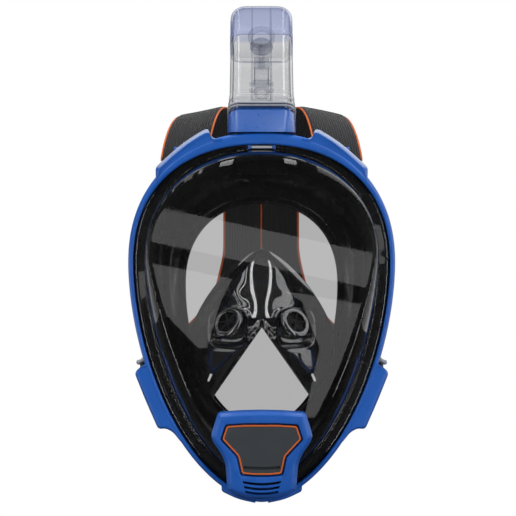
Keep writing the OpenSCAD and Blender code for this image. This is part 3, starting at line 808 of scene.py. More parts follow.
def make_inhale_valves():
    for side, tag in ((1, "right"), (-1, "left")):
        place = valve_matrix(side)
        seat = rounded_path([(7.8, 0), (12.2, 0), (12.2, 2.2), (10.4, 3.4), (7.8, 3.0)], [0.2, 0.5, 0.9, 0.9, 0.5], 3)
        ring_solid(f"valve_seat_{tag}", seat, place, SKIN_GLOSS, "mask", ["valve_seats"])
        for k in range(3):
            a = math.pi * k / 3
            along = Vector((math.cos(a), math.sin(a), 0))
            over = Vector((-math.sin(a), math.cos(a), 0))
            rows = [[place @ (along * s * 8.0 + over * w * 0.55 + Vector((0, 0, h)))
                     for w, h in ((-1, 1.0), (1, 1.0), (1, 2.0), (-1, 2.0))] for s in (-1, 0, 1)]
            soften(loft(f"valve_spoke_{tag}_{k + 1}", rows, BLACK, "mask", wrap_rows=False, caps=True), 0.2, 2)
        hub = disc_profile(2.0, 0.8, 2.3, 0.4, 0.3)
        ring_solid(f"valve_hub_{tag}", hub, place, BLACK, "mask", count=24)
        flap = disc_profile(8.7, -0.9, -0.2, 0.2, 0.2)
        ring_solid(f"inhale_disc_{tag}", flap, place, SKIN, f"inhale_valve_{tag}", [f"inhale_flap_{tag}"])


# ---- Chin ----
def arc_down(half, z, drop, count=9):
    """Points from +half to -half that sag by drop in the middle."""
    return [(half * (1 - 2 * k / count), z - drop * (1 - (1 - 2 * k / count) ** 2)) for k in range(count + 1)]


def both_sides(right):
    """The right-hand points from top to bottom, closed by their mirror image."""
    return right + [(-x, z) for x, z in reversed(right)]


BRACKET = [(15.3, -103.9), (30.8, -105.0), (32.9, -111.4), (35.9, -121.2), (34.0, -126.4), (29.1, -133.1),
           (25.8, -140.0), (24.9, -148.8), (24.5, -159.4)]
PLATE_EDGE = [(11.5, -113.4), (24.5, -114.2), (27.6, -123.3), (16.4, -135.3), (13.8, -147.4), (5.7, -148.2)]


def grown(points, amount):
    """The closed outline moved outward by amount along each corner's own bisector."""
    count = len(points)
    area = sum(points[i - 1][0] * points[i][1] - points[i][0] * points[i - 1][1] for i in range(count))
    sign = 1 if area > 0 else -1
    out = []
    for i in range(count):
        before = (Vector(points[i]) - Vector(points[i - 1])).normalized()
        after = (Vector(points[(i + 1) % count]) - Vector(points[i])).normalized()
        n0, n1 = Vector((before.y, -before.x)) * sign, Vector((after.y, -after.x)) * sign
        middle = n0 + n1
        scale = amount / max(0.35, (1 + n0.dot(n1)) / 2) / 2
        out.append(tuple(Vector(points[i]) + middle * scale))
    return out


def make_chin():
    low, high = cad("chin_bracket")
    front = low.y
    right = rounded_path(BRACKET, [8, 2.2, 6, 7, 8, 8, 8, 10, 3], 5, closed=False)
    bottom = arc_down(23.8, -160.5, 4.3)
    outline = [(0, -103.5)] + right + bottom[1:-1] + [(-x, z) for x, z in reversed(right)]
    inner = rounded_path(both_sides(grown(both_sides(PLATE_EDGE), 1.5)[:6]), 1.4, 4)
    rows = []
    for inset, y in ((0.0, front + 10), (0.0, front + 3.6), (0.5, front + 2.2), (2.6, front + 0.35), (3.4, front)):
        rows.append([(x, y, z) for x, z in grown(outline, -inset)])
    bracket = loft("chin_bracket_body", rows, BLUE, "mask", ["chin_bracket"], wrap_rows=False, caps=True)
    window = plate("window", inner, front - 3, front + 6, BLUE, None)
    hollow = plate("hollow", [(x, z) for x, z in ((-11.5, -116), (11.5, -116), (11.5, -146.5), (-11.5, -146.5))],
                   front + 3, front + 14, BLUE, None)
    leg = plate("leg", [(24.2, -159.9)] + arc_down(23.6, -160.6, 4.1) + [(-24.2, -159.9)], front + 6, high.y, BLUE, None)
    cut(bracket, leg, operation="UNION")
    slots = []
    for k, z in enumerate((-154.9, -158.3, -161.6)):
        half = 13.6 - 0.8 * k
        top = [(x, zz + 0.95) for x, zz in arc_down(half, z + 1.5, 1.5)]
        base = [(x, zz - 0.95) for x, zz in reversed(arc_down(half - 0.6, z + 1.5, 1.5))]
        slots.append(plate(f"slot_{k}", top + base, front - 3, front + 40, BLUE, None))
    chamber = rounded_box("chamber", (-15.2, front + 3.6, -162.6), (15.2, front + 15, -150.8), BLUE, None, 1.0)
    cut(bracket, window, hollow, chamber, *slots)
    soften(bracket, 0.35, 3, 38)
    edge = rounded_path(both_sides(PLATE_EDGE), 1.5, 4)
    trim = plate("plate_trim", edge, front + 0.15, front + 3.4, ORANGE, "mask", ["chin_trim"])
    cut(trim, plate("trim_hole", grown(edge, -1.05), front - 2, front + 6, ORANGE, None))
    soften(trim, 0.25, 3, 40)
    body = plate("plate_body", grown(edge, -1.1), front + 0.5, front + 3.4, PLATE, "mask", ["chin_plate"])
    slot_top = arc_down(12.8, -142.1, 0.7)
    slot_low = [(x, z - 1.9) for x, z in reversed(slot_top)]
    cut(body, plate("plate_slot", slot_top + slot_low, front - 2, front + 2.6, PLATE, None))
    soften(body, 0.3, 3, 40)


def make_purge():
    low, high = cad("purge_seat")
    place = Matrix.Translation((0, high.y - 2, (low.z + high.z) / 2)) @ Matrix.Rotation(math.pi / 2, 4, "X")
    seat = rounded_path([(0.01, 0), (12, 0), (12, 1.2), (9.9, 1.4), (9.9, 4.6), (0.01, 4.6)], [0, 0.4, 0.4, 0.2, 0.5, 0], 3)
    ring_solid("purge_grid", seat, place, GREY, "mask", ["purge_seat"])
    flap_low, flap_high = cad("purge_flap")
    place = Matrix.Translation((0, flap_high.y, (low.z + high.z) / 2)) @ Matrix.Rotation(math.pi / 2, 4, "X")
    ring_solid("purge_disc", disc_profile(9.0, 0, 0.8, 0.25, 0.9), place, SKIN, "purge_valve", ["purge_flap"])


# ---- Snorkel: drawn upright about its own axis, then leaned back with the CAD slide axis ----
lean_axis = Vector(joint("snorkel_unplug")["axis"])
LEAN = math.atan2(lean_axis.y, lean_axis.z)
SNORKEL = Matrix.Translation((0, -20, 90)) @ Matrix.Rotation(-LEAN, 4, "X")
TUBE_W = cad("snorkel_tube")[1].x * 2
TUBE_D = 32.0
BLOCK_TOP = 16.5
SPIGOT_TOP = 24.0
TUBE_LOW = 16.8
TUBE_HIGH = 101.3
CAP_HIGH = 139.8
WALL_X = 7.3


def oval(half_w, half_d, radius, steps=8):
    """Rounded rectangle about the axis, as 2D points."""
    w, d = half_w, half_d
    return rounded_path([(w, -d), (w, d), (-w, d), (-w, -d)], radius, steps)


def sleeve(name, levels, material, body, replaces=(), wall=2.0, open_ends=True):
    """Tube through levels of (height, half width, half depth, corner radius), with a wall when open."""
    outer = [[SNORKEL @ Vector((x, y, h)) for x, y in oval(w, d, r)] for h, w, d, r in levels]
    if not open_ends:
        return loft(name, outer, material, body, replaces, wrap_rows=False, caps=True)
    inner = [[SNORKEL @ Vector((x, y, h)) for x, y in oval(w - wall, d - wall, max(1.0, r - wall))]
             for h, w, d, r in reversed(levels)]
    return loft(name, outer + inner, material, body, replaces)


def make_socket():
    """Blue socket block with a spigot the tube slides over, and the air passages through it."""
    half_w, half_d = TUBE_W / 2, TUBE_D / 2
    levels = [(-24, half_w + 0.5, half_d + 0.5, 9), (BLOCK_TOP - 1.2, half_w + 0.5, half_d + 0.5, 9),
              (BLOCK_TOP - 0.3, half_w + 0.1, half_d + 0.1, 9), (BLOCK_TOP, half_w - 0.6, half_d - 0.6, 8),
              (BLOCK_TOP, half_w - 2.2, half_d - 2.2, 7), (SPIGOT_TOP - 0.6, half_w - 2.3, half_d - 2.3, 7),
              (SPIGOT_TOP, half_w - 3.0, half_d - 3.0, 6)]
    block = sleeve("socket_block", levels, BLUE_DEEP, "mask", ["snorkel_socket"], open_ends=False)
    slice_off(block, "below_rim", (0, 0, UP + 0.1), (0, 0, -1))
    bore = [(y, half_w - 4.6, half_d - 4.6, 4) for y in (3.0, 40.0)]
    cut(block, sleeve("bore", bore, BLUE_DEEP, None, open_ends=False))
    cut(block, rounded_box("neck_slot", (-17, -14.5, UP - 5), (17, -7.5, UP + 30), BLUE_DEEP, None, 1.0))
    soften(block, 0.5, 3, 40)
    for side in (-1, 1):
        rows = [[SNORKEL @ Vector((side * WALL_X + dx, y, h)) for dx, y in
                 ((-0.8, -11.2), (0.8, -11.2), (0.8, 11.2), (-0.8, 11.2))] for h in (3.2, SPIGOT_TOP - 0.8)]
        soften(loft(f"socket_web_{'left' if side < 0 else 'right'}", rows, BLUE_DEEP, "mask", wrap_rows=False, caps=True), 0.2, 2)


def slice_off(piece, name, at, normal, size=160):
    """Cuts away everything past a plane."""
    direction = Vector(normal).normalized()
    half = size / 2
    turned = direction.to_track_quat("Z", "Y").to_matrix()
    points = [turned @ Vector((x, y, z)) + Vector(at) for z in (0, size) for y in (-half, half) for x in (-half, half)]
    faces = [(0, 1, 3, 2), (4, 5, 7, 6), (0, 1, 5, 4), (2, 3, 7, 6), (0, 2, 6, 4), (1, 3, 7, 5)]
    return cut(piece, new_piece(name, points, faces, BLUE, None, smooth=False))


def make_tube():
    """Clear tube: a flared foot over the socket, stiffening beads, and a plain barrel above."""
    w, d = TUBE_W / 2, TUBE_D / 2
    levels = [(TUBE_LOW, w + 0.0, d, 9), (TUBE_LOW + 0.6, w + 0.5, d + 0.5, 9), (TUBE_LOW + 12.0, w + 0.5, d + 0.5, 9),
              (TUBE_LOW + 13.4, w - 0.4, d - 0.4, 9)]
    for h in (34.0, 36.5):
        levels += [(h - 0.8, w - 0.5, d - 0.5, 9), (h, w + 0.2, d + 0.2, 9), (h + 0.8, w - 0.5, d - 0.5, 9)]
    levels += [(lerp(38, TUBE_HIGH - 1, k / 6), w - 0.5, d - 0.5, 9) for k in range(7)]
    levels.append((TUBE_HIGH, w - 0.9, d - 0.9, 9))
    soften(sleeve("tube_barrel", levels, TUBE, "snorkel", ["snorkel_tube"]), 0.3, 2, 40)
    for tag, h, rise, out in (("foot", SPIGOT_TOP + 0.2, 2.0, -2.4), ("band", 22.8, 1.4, 1.0), ("bead", 20.0, 0.9, 0.9)):
        ring = [(h, w + out - 0.6, d + out - 0.6, 9), (h + 0.2 * rise, w + out, d + out, 9),
                (h + 0.8 * rise, w + out, d + out, 9), (h + rise, w + out - 0.6, d + out - 0.6, 9)]
        finish = SEAL if tag == "foot" else GREY
        node = {"foot": ["socket_gasket"], "band": ["collar_ring"]}.get(tag, [])
        sleeve(f"tube_{tag}", ring, finish, "snorkel", node, wall=1.3)


def snorkel_block(name, low, high, material, body, radius=0.5, replaces=()):
    """Rounded block in the snorkel's own upright frame."""
    (x0, y0, z0), (x1, y1, z1) = low, high
    corners = rounded_path([(x0, y0), (x1, y0), (x1, y1), (x0, y1)], radius, 4)
    rows = [[SNORKEL @ Vector((x, y, z)) for x, y in corners] for z in (z0, z1)]
    return soften(loft(name, rows, material, body, replaces, wrap_rows=False, caps=True), 0.4 * radius, 2, 40)


def make_channels():
    """Two full-length walls part the middle inhale channel from the exhale channels at the sides."""
    depth = TUBE_D / 2 - 2.6
    for side, tag in ((-1, "left"), (1, "right")):
        x = side * WALL_X
        snorkel_block(f"channel_wall_{tag}", (x - 0.7, -depth, SPIGOT_TOP + 8), (x + 0.7, depth, TUBE_HIGH - 3), INNER,
                      "snorkel", 0.4, ["channel_walls"])
        for k, h in enumerate((40.0, 47.0)):
            snorkel_block(f"wall_clip_{tag}_{k + 1}", (x - 1.8, -depth, h), (x + 1.8, -depth + 3, h + 1.6), INNER, "snorkel", 0.5)
    for k, h in enumerate((50.0, 91.0)):
        ring = rounded_path([(2.1 if k else 4.0, h), (6.2, h), (6.2, h + 2), (2.1 if k else 4.0, h + 2)], 0.4, 3)
        ring_solid(f"float_shelf_{k + 1}", ring, SNORKEL, INNER, "snorkel", ["float_guide"], 40)
        for j, y in enumerate((-9.5, 9.5)):
            snorkel_block(f"shelf_bar_{k + 1}_{j + 1}", (-6.4, y - 3.2, h), (6.4, y + 3.2, h + 2), INNER, "snorkel", 0.5)


def make_float():
    """Dry-top float: a hollow body, its stem and the sealing disc it lifts against the seat."""
    levels = [(58, 4.4, 8.8, 2), (58.8, 5.4, 9.8, 2), (60, 5.6, 10, 2), (68.6, 5.6, 10, 2), (69.4, 4.9, 9.3, 2),
              (70.2, 5.6, 10, 2), (79, 5.6, 10, 2), (80.2, 5.4, 9.8, 2), (81, 4.4, 8.8, 2)]
    sleeve("float_bob", levels, INNER, "float", ["float_body"], open_ends=False)
    stem = rounded_path([(0.01, 80), (2.9, 80), (2.0, 84), (2.0, 100.5), (3.4, 102.2), (0.01, 102.2)], [0, 0.6, 1, 1.2, 0.4, 0], 4)
    ring_solid("float_stem", stem, SNORKEL, INNER, "float", count=32)
    disc = rounded_path([(0.01, 102.3), (9, 102.3), (9, 103.8), (6, 104.6), (0.01, 104.6)], [0, 0.5, 0.6, 0.8, 0], 4)
    ring_solid("float_disc", disc, SNORKEL, PALE_SEAL, "float", ["float_seal"])
    seat = rounded_path([(7, 112.3), (10.5, 112.3), (10.5, 115.6), (9.5, 115.6), (8.6, 113.8), (7, 113.6)], 0.4, 3)
    ring_solid("cap_seat_ring", seat, SNORKEL, INNER, "snorkel", ["cap_seat"])


def make_cap():
    """Tinted cap with rounded shoulders, vented low on both sides."""
    w, d = TUBE_W / 2, TUBE_D / 2
    base, top = TUBE_HIGH + 0.1, CAP_HIGH - 1.0
    levels = [(base, w - 0.5, d - 0.5, 9), (base + 0.6, w, d, 9), (base + 3.2, w, d, 9), (base + 3.8, w - 0.5, d - 0.5, 9),
              (base + 4.6, w - 0.1, d - 0.1, 9)]
    shoulder_r = 13.0
    straight = top - shoulder_r
    levels.append((straight, w - 0.1, d - 0.1, 9))
    for k in range(1, 10):
        a = math.pi / 2 * k / 9
        drop = shoulder_r * (1 - math.cos(a))
        levels.append((straight + shoulder_r * math.sin(a), w - 0.1 - drop, d - 0.1 - 0.55 * drop, max(4, 9 - 0.3 * drop)))
    outer = [[SNORKEL @ Vector((x, y, h)) for x, y in oval(cw, cd, r)] for h, cw, cd, r in levels]
    inner = [[SNORKEL @ Vector((x, y, min(h, top - 1.8))) for x, y in oval(cw - 1.8, cd - 1.8, max(1.5, r - 1.8))]
             for h, cw, cd, r in reversed(levels)]
    # The hollow runs out through the cap's foot, so that air and the float's stem pass.
    inner.append([point - lean_axis for point in inner[-1]])
    cap = loft("cap_shell", outer, CAP, "snorkel", ["snorkel_cap"], wrap_rows=False, caps=True)
    cap_hole = loft("cap_hollow", inner, CAP, None, wrap_rows=False, caps=True)
    cut(cap, cap_hole)
    for k, h in enumerate((16.0, 20.5)):
        vent = [[SNORKEL @ Vector((x, y, TUBE_HIGH + h + z)) for y, z in rounded_path([(-8, 0), (8, 0), (8, 2.6), (-8, 2.6)], 1.2, 4)]
                for x in (-40, 40)]
        cut(cap, loft(f"vent_{k}", vent, CAP, None, wrap_rows=False, caps=True))
    soften(cap, 0.3, 2, 40)
    cap.data.materials.append(TUBE)
    upright = SNORKEL.inverted()
    for face in cap.data.polygons:
        spot = upright @ (face.center / MM)
        if spot.y > d - 6 and spot.z < top - shoulder_r:
            face.material_index = 1
    for side, tag in ((-1, "left"), (1, "right")):
        snorkel_block(f"cap_rib_{tag}", (side * WALL_X - 0.6, -d + 2.6, base + 12), (side * WALL_X + 0.6, d - 2.6, top - 4), INNER,
                      "snorkel", 0.4)


# ---- Harness ----
HEAD_BACK = cad("harness_pad")[1].y - 4.0
BACK_Y = HEAD_BACK - 7.0
STRAP_T = 3.0
UPPER_HALF = 17.0
UPPER_START = -0.06
LOWER_START = 0.004
LOWER_HALF = 11.0
PAD_R = 62.0


def bezier(a, b, c, d, f):
    g = 1 - f
    return a * g ** 3 + b * 3 * g * g * f + c * 3 * g * f * f + d * f ** 3


def upper_path(f):
    end = Vector((21.5, BACK_Y + 0.5, 56))
    return bezier(Vector((57, 6, 88)), Vector((50, 34, 138)), Vector((36, 118, 133)), end, f)


def lower_path(f):
    end = Vector((33, BACK_Y - 5, -40))
    return bezier(Vector((78.5, 2, -101)), Vector((86, 52, -98)), Vector((70, 112, -72)), end, f)


def upper_across(f):
    return Vector((1, -0.37 * f * f, -0.12 * math.sin(math.pi * f) - 0.1)).normalized()


def lower_across(f):
    return Vector((0.33, 0, 0.95)).lerp(Vector((0.55, -0.2, 0.8)), f).normalized()


def strap_frame(path, across, f):
    """Centre, width direction and face normal of a strap at f."""
    step = 0.01
    run = (path(min(1, f + step)) - path(f - step)).normalized()
    wide = across(f)
    return path(f), wide, run.cross(wide).normalized()


def add_weave(piece, cols, lengths, widths):
    """Maps the strap in millimetres along and across, for the fabric material to follow."""
    layer = piece.data.uv_layers.new(name="weave")
    for loop in piece.data.loops:
        row, col = divmod(loop.vertex_index, cols)
        layer.data[loop.index].uv = (lengths[min(row, len(lengths) - 1)], widths[col])


def sheet(name, rows, lengths, widths, material, body, replaces=()):
    """Closed skin through equal rows, mapped for the weave."""
    cols = len(rows[0])
    points = [Vector(p) * MM for row in rows for p in row]
    faces = grid_faces(len(rows), cols, False, True)
    faces += [tuple(range(cols)), tuple(range(len(points) - cols, len(points)))]
    mesh = bpy.data.meshes.new(name)
    mesh.from_pydata(points, [], faces)
    piece = bpy.data.objects.new(name, mesh)
    bpy.context.scene.collection.objects.link(piece)
    add_weave(piece, cols, lengths, widths)
    repair = bmesh.new()
    repair.from_mesh(mesh)
    bmesh.ops.recalc_face_normals(repair, faces=repair.faces)
    repair.to_mesh(mesh)
    repair.free()
    for face in mesh.polygons:
        face.use_smooth = len(face.vertices) == 4
    mesh.materials.append(material)
    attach(piece, body)
    if replaces:
        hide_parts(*replaces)
    return piece


def strap_section(half, thick, cords):
    """Cross section of ribbed webbing: rounded edges and raised cords on both faces."""
    section = []
    count = cords * 4
    for k in range(count + 1):
        across = -half + 2 * half * k / count
        edge = math.sqrt(max(0.0, 1 - (abs(across) / half) ** 14))
        cord = 0.16 * math.cos(math.tau * k / 4)
        section.append((across, thick / 2 + (thick / 2 + cord) * edge * 0.94))
    lower = [(across, thick - height) for across, height in reversed(section)]
    return section + lower[1:-1]


def make_strap(name, path, across, half, thick, lift, start, node, side, count=90):
    cords = int(half / 0.9)
    section = strap_section(half, thick, cords)
    rows, lengths, total, last = [], [], 0.0, None
    for i in range(count + 1):
        f = lerp(start, 1.0, i / count)
        centre, wide, normal = strap_frame(path, across, f)
        total += (centre - last).length if last else 0.0
        last = centre
        lengths.append(total)
        sag = 0.5 * math.sin(9 * f + side)
        row = []
        for w, h in section:
            point = centre + wide * w + normal * (h + lift + sag * (1 - (w / half) ** 2) * math.sin(math.pi * f))
            row.append((side * point.x, point.y, point.z))
        rows.append(row)
    widths = [w * STRAP_RIB * cords / (2 * half) for w, _ in section]
    return sheet(name, rows, lengths, widths, STRAP, "harness", [node])


def cord(name, points, radius, material, body, replaces=(), sides=10):
    """Round cord along 3D points, for piping and seams."""
    rows = []
    count = len(points)
    for i, point in enumerate(points):
        run = (Vector(points[min(i + 1, count - 1)]) - Vector(points[max(i - 1, 0)])).normalized()
        first = run.cross(Vector((0.3, 0.2, 1))).normalized()
        second = run.cross(first)
        taper = 0.4 if i in (0, count - 1) else 1.0
        rows.append([Vector(point) + radius * taper * (first * math.cos(turn(k, sides)) + second * math.sin(turn(k, sides)))
                     for k in range(sides)])
    return loft(name, rows, material, body, replaces, wrap_rows=False, caps=True)


def edge_line(path, across, offset, lift, start, side, count=70):
    points = []
    for i in range(count + 1):
        centre, wide, normal = strap_frame(path, across, lerp(start, 1.0, i / count))
        point = centre + wide * offset + normal * lift
        points.append((side * point.x, point.y, point.z))
    return points


def make_straps():
    for side, tag in ((1, "right"), (-1, "left")):
        make_strap(f"upper_band_{tag}", upper_path, upper_across, UPPER_HALF, STRAP_T, 0, UPPER_START, f"upper_strap_{tag}",
                   side)
        make_strap(f"lower_band_{tag}", lower_path, lower_across, LOWER_HALF, STRAP_T, -STRAP_T, LOWER_START,
                   f"lower_strap_{tag}", side)
        for edge, label in ((1, "outer"), (-1, "inner")):
            line = edge_line(upper_path, upper_across, edge * (UPPER_HALF + 0.5), STRAP_T / 2, UPPER_START, side)
            cord(f"piping_{label}_{tag}", line, 0.75, ORANGE, "harness", ["strap_piping"])
            line = edge_line(lower_path, lower_across, edge * (LOWER_HALF + 0.3), -STRAP_T / 2, LOWER_START + 0.01, side)
            cord(f"lower_piping_{label}_{tag}", line, 0.6, ORANGE, "harness")


def pad_half(z):
    return 31 + 8 * ease((15 - z) / 50)


def pad_depth(x):
    return HEAD_BACK - PAD_R + math.sqrt(PAD_R ** 2 - min(abs(x), PAD_R - 1) ** 2)


def make_pad():
    """Back pad: padded elastic panel, quilted along its centre seam."""
    low, high = cad("harness_pad")
    rows, lengths = [], []
    across, down = 40, 60
    widths = [2 * k / across - 1 for k in range(across + 1)]
    for i in range(down + 1):
        f = i / down
        z = lerp(low.z + 0.6, high.z - 0.6, f)
        corner = 1 - 0.10 * (1 - min(1, min(f, 1 - f) * down / 4)) ** 2
        half = (pad_half(z) - 0.4) * corner
        front, back = [], []
        for w in widths:
            x = half * w
            puff = 1.1 * (1 - abs(w) ** 6) * min(1.0, 6 * f, 6 * (1 - f)) * (1 - 0.8 * math.exp(-(x / 2.2) ** 2))
            front.append((x, pad_depth(x) + 1.3 - puff, z))
            back.append((x, pad_depth(x) + 2.7 + puff, z))
        rows.append(front + back[::-1])
        lengths.append(z)
    span = [w * 31 for w in widths]
    sheet("back_pad", rows, lengths, span + span[::-1], PAD, "harness", ["harness_pad"])
    seam = [(0, pad_depth(0) + 0.9, lerp(low.z + 2, high.z - 2, k / 30)) for k in range(31)]
    cord("pad_seam", seam, 0.8, ORANGE, "harness")
    for side, tag in ((1, "right"), (-1, "left")):
        edge = []
        for k in range(41):
            z = lerp(low.z + 2, high.z - 2, k / 40)
            x = side * (pad_half(z) + 0.2)
            edge.append((x, pad_depth(x) + 2.0, z))
        cord(f"pad_piping_{tag}", edge, 1.0, ORANGE, "harness")


def make_fittings():
    """Small CAD parts that keep their own shape: rounded edges and their own finish."""
    finishes = {"ear_pins": STEEL, "strap_loops": BLACK, "tongue_left": BLACK, "tongue_right": BLACK}
    for node, finish in finishes.items():
        piece = frame["nodes"][node]
        piece.data.materials.clear()
        piece.data.materials.append(finish)
        weld = piece.modifiers.new("weld", "WELD")
        weld.merge_threshold = 0.00001
        soften(piece, 0.35, 3, 40)
    for side, tag in ((1, "right"), (-1, "left")):
        make_release(side, tag)


def make_release(side, tag):
    """Strap release: a waisted roller set aslant on a stem, with a return spring under it."""
    low, high = cad(f"release_button_{tag}")
    middle_y = (low.y + high.y) / 2
    upper, lower = Vector((side * 86.0, middle_y, high.z - 1.9)), Vector((side * 91.0, middle_y, high.z - 4.6))
    run = upper - lower
    place = Matrix.Translation((upper + lower) / 2) @ run.to_track_quat("Z", "Y").to_matrix().to_4x4()
    half = run.length / 2
    roll = rounded_path([(0.01, -half), (1.9, -half), (1.9, -0.55 * half), (1.5, -0.4 * half), (1.5, 0.4 * half),
                         (1.9, 0.55 * half), (1.9, half), (0.01, half)], [0, 0.7, 0.3, 0.4, 0.4, 0.3, 0.7, 0], 3)
    ring_solid(f"button_roller_{tag}", roll, place, GREY, f"button_{tag}", [f"release_button_{tag}"], 36)
    dot = rounded_path([(0.01, -half - 0.7), (1.2, -half - 0.6), (1.2, -half + 0.4), (0.01, -half + 0.4)], [0, 0.4, 0.1, 0], 3)
    ring_solid(f"button_dot_{tag}", dot, place, BLUE_DEEP, f"button_{tag}", count=24)
    stem = rounded_path([(0.01, low.z), (1.9, low.z), (1.9, high.z - 4), (0.01, high.z - 4)], [0, 0.4, 0.2, 0], 3)
    ring_solid(f"button_stem_{tag}", stem, Matrix.Translation((side * 87.3, middle_y, 0)), BLACK, f"button_{tag}", count=24)
    base, top = cad(f"button_spring_{tag}")
    coils, wire = 4, 0.32
    radius = (top.x - base.x) / 2 - wire
    axis = (base + top) / 2
    helix = []
    for k in range(24 * coils + 1):
        a = math.tau * k / 24
        height = lerp(base.z + wire, top.z - wire, k / (24 * coils))
        helix.append((axis.x + radius * math.cos(a), axis.y + radius * math.sin(a), height))
    spring = cord(f"return_spring_{tag}", helix, wire, STEEL, "mask", [f"button_spring_{tag}"], 8)
    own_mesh(spring)


# ---- Studio ----
CAMERA_BACK = 1.05
CAMERA_LENS = 100.0
CAMERA_X = -0.0027
CAMERA_Z = 0.0037


def glow(name, strength, colour=(1, 1, 1, 1)):
    """Plain light-giving material for the reflector cards."""
    material = bpy.data.materials.new(name)
    material.use_nodes = True
    nodes = material.node_tree.nodes
    nodes.remove(nodes["Principled BSDF"])
    lamp = nodes.new("ShaderNodeEmission")
    lamp.inputs["Strength"].default_value = strength
    lamp.inputs["Color"].default_value = colour
    material.node_tree.links.new(lamp.outputs[0], nodes["Material Output"].inputs["Surface"])
    return material


def card(name, corners, strength):
    """A reflector card seen only in reflections; corners in metres."""
    mesh = bpy.data.meshes.new(name)
    mesh.from_pydata([Vector(c) for c in corners], [], [tuple(range(len(corners)))])
    mesh.materials.append(glow(name, strength))
    piece = bpy.data.objects.new(name, mesh)
    bpy.context.scene.collection.objects.link(piece)
    for way in ("visible_camera", "visible_diffuse", "visible_transmission", "visible_shadow", "visible_volume_scatter"):
        setattr(piece, way, False)
    return piece


def window_cards():
    """Two tilted softboxes behind the camera, whose mirror images cross the flat window as pale bands."""
    window = WINDOW_Y * MM
    eye = Vector((CAMERA_X, RIM_FRONT * MM + 0.021 - CAMERA_BACK, CAMERA_Z))
    wall = eye.y - 0.35
    reach = 1 + (window - wall) / (window - eye.y)

    def behind(x, z):
        """Where the ray mirrored at (x, z) mm of the window meets the wall of cards."""
        return (eye.x + (x * MM - eye.x) * reach, wall, eye.z + (z * MM - eye.z) * reach)
    upper = [(-100, 45.5), (100, 2.5), (100, -23.0), (-100, 20.0)]
    lower_left = [(-82, 0.8), (-21, -11.0), (-29, -27.0), (-39, -60.0), (-45, -60.0), (-77, -27.0)]
    lower_right = [(15.6, -19.7), (81, -30.7), (41, -109.0), (30, -109.0), (41, -60.0), (28, -27.0)]
    for name, outline in (("upper_card", upper), ("lower_card_left", lower_left), ("lower_card_right", lower_right)):
        card(name, [behind(x, z) for x, z in outline], 1.5)


def sky_cards():
    """Reflectors overhead and beside the mask: narrow strips for the silicone's streaks, and broad dim panels."""
    near, far, behind = -0.95, 0.35, 1.3
    for name, low_x, high_x, height, strength in (
            ("ridge_left", -0.27, -0.17, 0.95, 4.0), ("ridge_right", 0.13, 0.22, 0.95, 4.0),
            ("wing_left_1", -0.40, -0.37, 0.80, 3.0), ("wing_left_2", -0.53, -0.43, 0.74, 1.6),
            ("brow_left_1", -0.66, -0.62, 0.66, 3.0), ("brow_left_2", -0.86, -0.70, 0.60, 0.9)):
        card(name, [(low_x, near, height), (high_x, near, height), (high_x, far, height), (low_x, far, height)], strength)
    card("panel_right", [(0.34, near, 0.80), (1.0, near, 0.34), (1.0, behind, 0.34), (0.34, behind, 0.80)], 1.3)
    card("side_right", [(1.0, -0.6, -0.35), (1.1, -0.6, 0.34), (1.1, behind, 0.34), (1.0, behind, -0.35)], 1.1)
    card("side_left", [(-1.1, -0.5, -0.35), (-1.1, -0.5, 0.10), (-1.1, behind, 0.10), (-1.1, behind, -0.35)], 0.9)
    card("panel_back", [(-1.2, 0.95, 1.25), (1.2, 0.95, 1.25), (1.2, 1.4, 1.25), (-1.2, 1.4, 1.25)], 1.2)


def light(name, place, aim, size, power):
    lamp = bpy.data.lights.new(name, "AREA")
    lamp.energy = power
    lamp.shape = "RECTANGLE"
    lamp.size, lamp.size_y = size
    piece = bpy.data.objects.new(name, lamp)
    piece.location = place
    piece.rotation_euler = (Vector(aim) - Vector(place)).to_track_quat("-Z", "Y").to_euler()
    piece.visible_glossy = False
    bpy.context.scene.collection.objects.link(piece)
    return piece


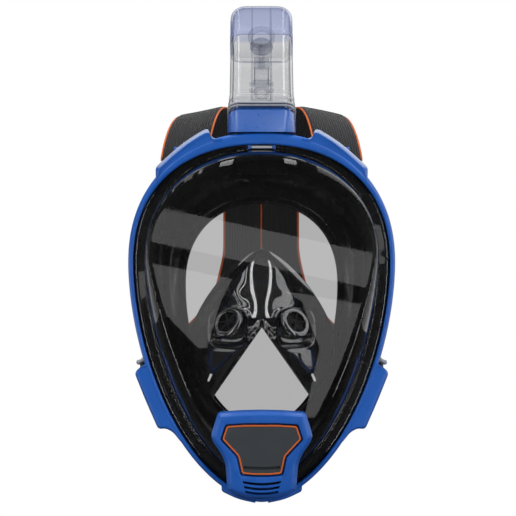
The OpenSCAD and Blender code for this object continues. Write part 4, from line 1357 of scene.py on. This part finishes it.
def make_studio():
    scene = bpy.context.scene
    scene.view_settings.view_transform = "Standard"
    scene.cycles.transparent_max_bounces = 48
    world = bpy.data.worlds.new("studio")
    world.use_nodes = True
    scene.world = world
    nodes, links = world.node_tree.nodes, world.node_tree.links
    path = nodes.new("ShaderNodeLightPath")
    fill = nodes["Background"]
    fill.inputs["Color"].default_value = (0.92, 0.95, 1.0, 1)
    fill.inputs["Strength"].default_value = 0.45
    layers = fill.outputs[0]
    for ray, strength in (("Is Glossy Ray", 0.05), ("Is Camera Ray", 1.0)):
        layer = nodes.new("ShaderNodeBackground")
        layer.inputs["Color"].default_value = (1, 1, 1, 1)
        layer.inputs["Strength"].default_value = strength
        mix = nodes.new("ShaderNodeMixShader")
        links.new(path.outputs[ray], mix.inputs[0])
        links.new(layers, mix.inputs[1])
        links.new(layer.outputs[0], mix.inputs[2])
        layers = mix.outputs[0]
    links.new(layers, nodes["World Output"].inputs["Surface"])
    mesh = bpy.data.meshes.new("floor")
    low = cad_box[0][2] - 0.16
    mesh.from_pydata([(-6, -6, low), (6, -6, low), (6, 6, low), (-6, 6, low)], [], [(0, 1, 2, 3)])
    mesh.materials.append(glow("floor_white", 1.0))
    floor = bpy.data.objects.new("floor", mesh)
    scene.collection.objects.link(floor)
    for way in ("visible_diffuse", "visible_glossy", "visible_shadow"):
        setattr(floor, way, False)
    light("key", (-0.7, -1.1, 1.1), (0, 0, 0.02), (0.8, 0.8), 16)
    light("fill", (0.9, -1.2, 0.5), (0, 0, 0), (0.9, 0.9), 9)
    light("top", (0, 0.1, 1.3), (0, 0, 0), (1.0, 0.6), 10)
    light("back", (0, 1.2, 0.6), (0, 0, 0.05), (1.2, 0.6), 8)
    for side in (-1, 1):
        x = side * 0.62
        corners = [(x, -0.80, -0.45), (x + side * 0.10, -0.70, -0.45), (x + side * 0.10, -0.70, 0.55), (x, -0.80, 0.55)]
        card(f"strip_{'left' if side < 0 else 'right'}", corners, 4.5)
    window_cards()
    sky_cards()
    lens = bpy.data.cameras.new("camera")
    lens.lens = CAMERA_LENS
    lens.sensor_width = 36
    camera = bpy.data.objects.new("camera", lens)
    camera.location = (CAMERA_X, RIM_FRONT * MM + 0.021 - CAMERA_BACK, CAMERA_Z)
    camera.rotation_euler = (math.pi / 2, 0, 0)
    scene.collection.objects.link(camera)
    scene.camera = camera


make_rim()
make_shoulders()
make_lugs()
make_retainer()
make_visor()
make_top_clip()
make_skirt()
make_neck()
make_pocket()
make_inhale_valves()
make_chin()
make_purge()
make_socket()
make_tube()
make_channels()
make_float()
make_cap()
make_straps()
make_pad()
make_fittings()
make_studio()
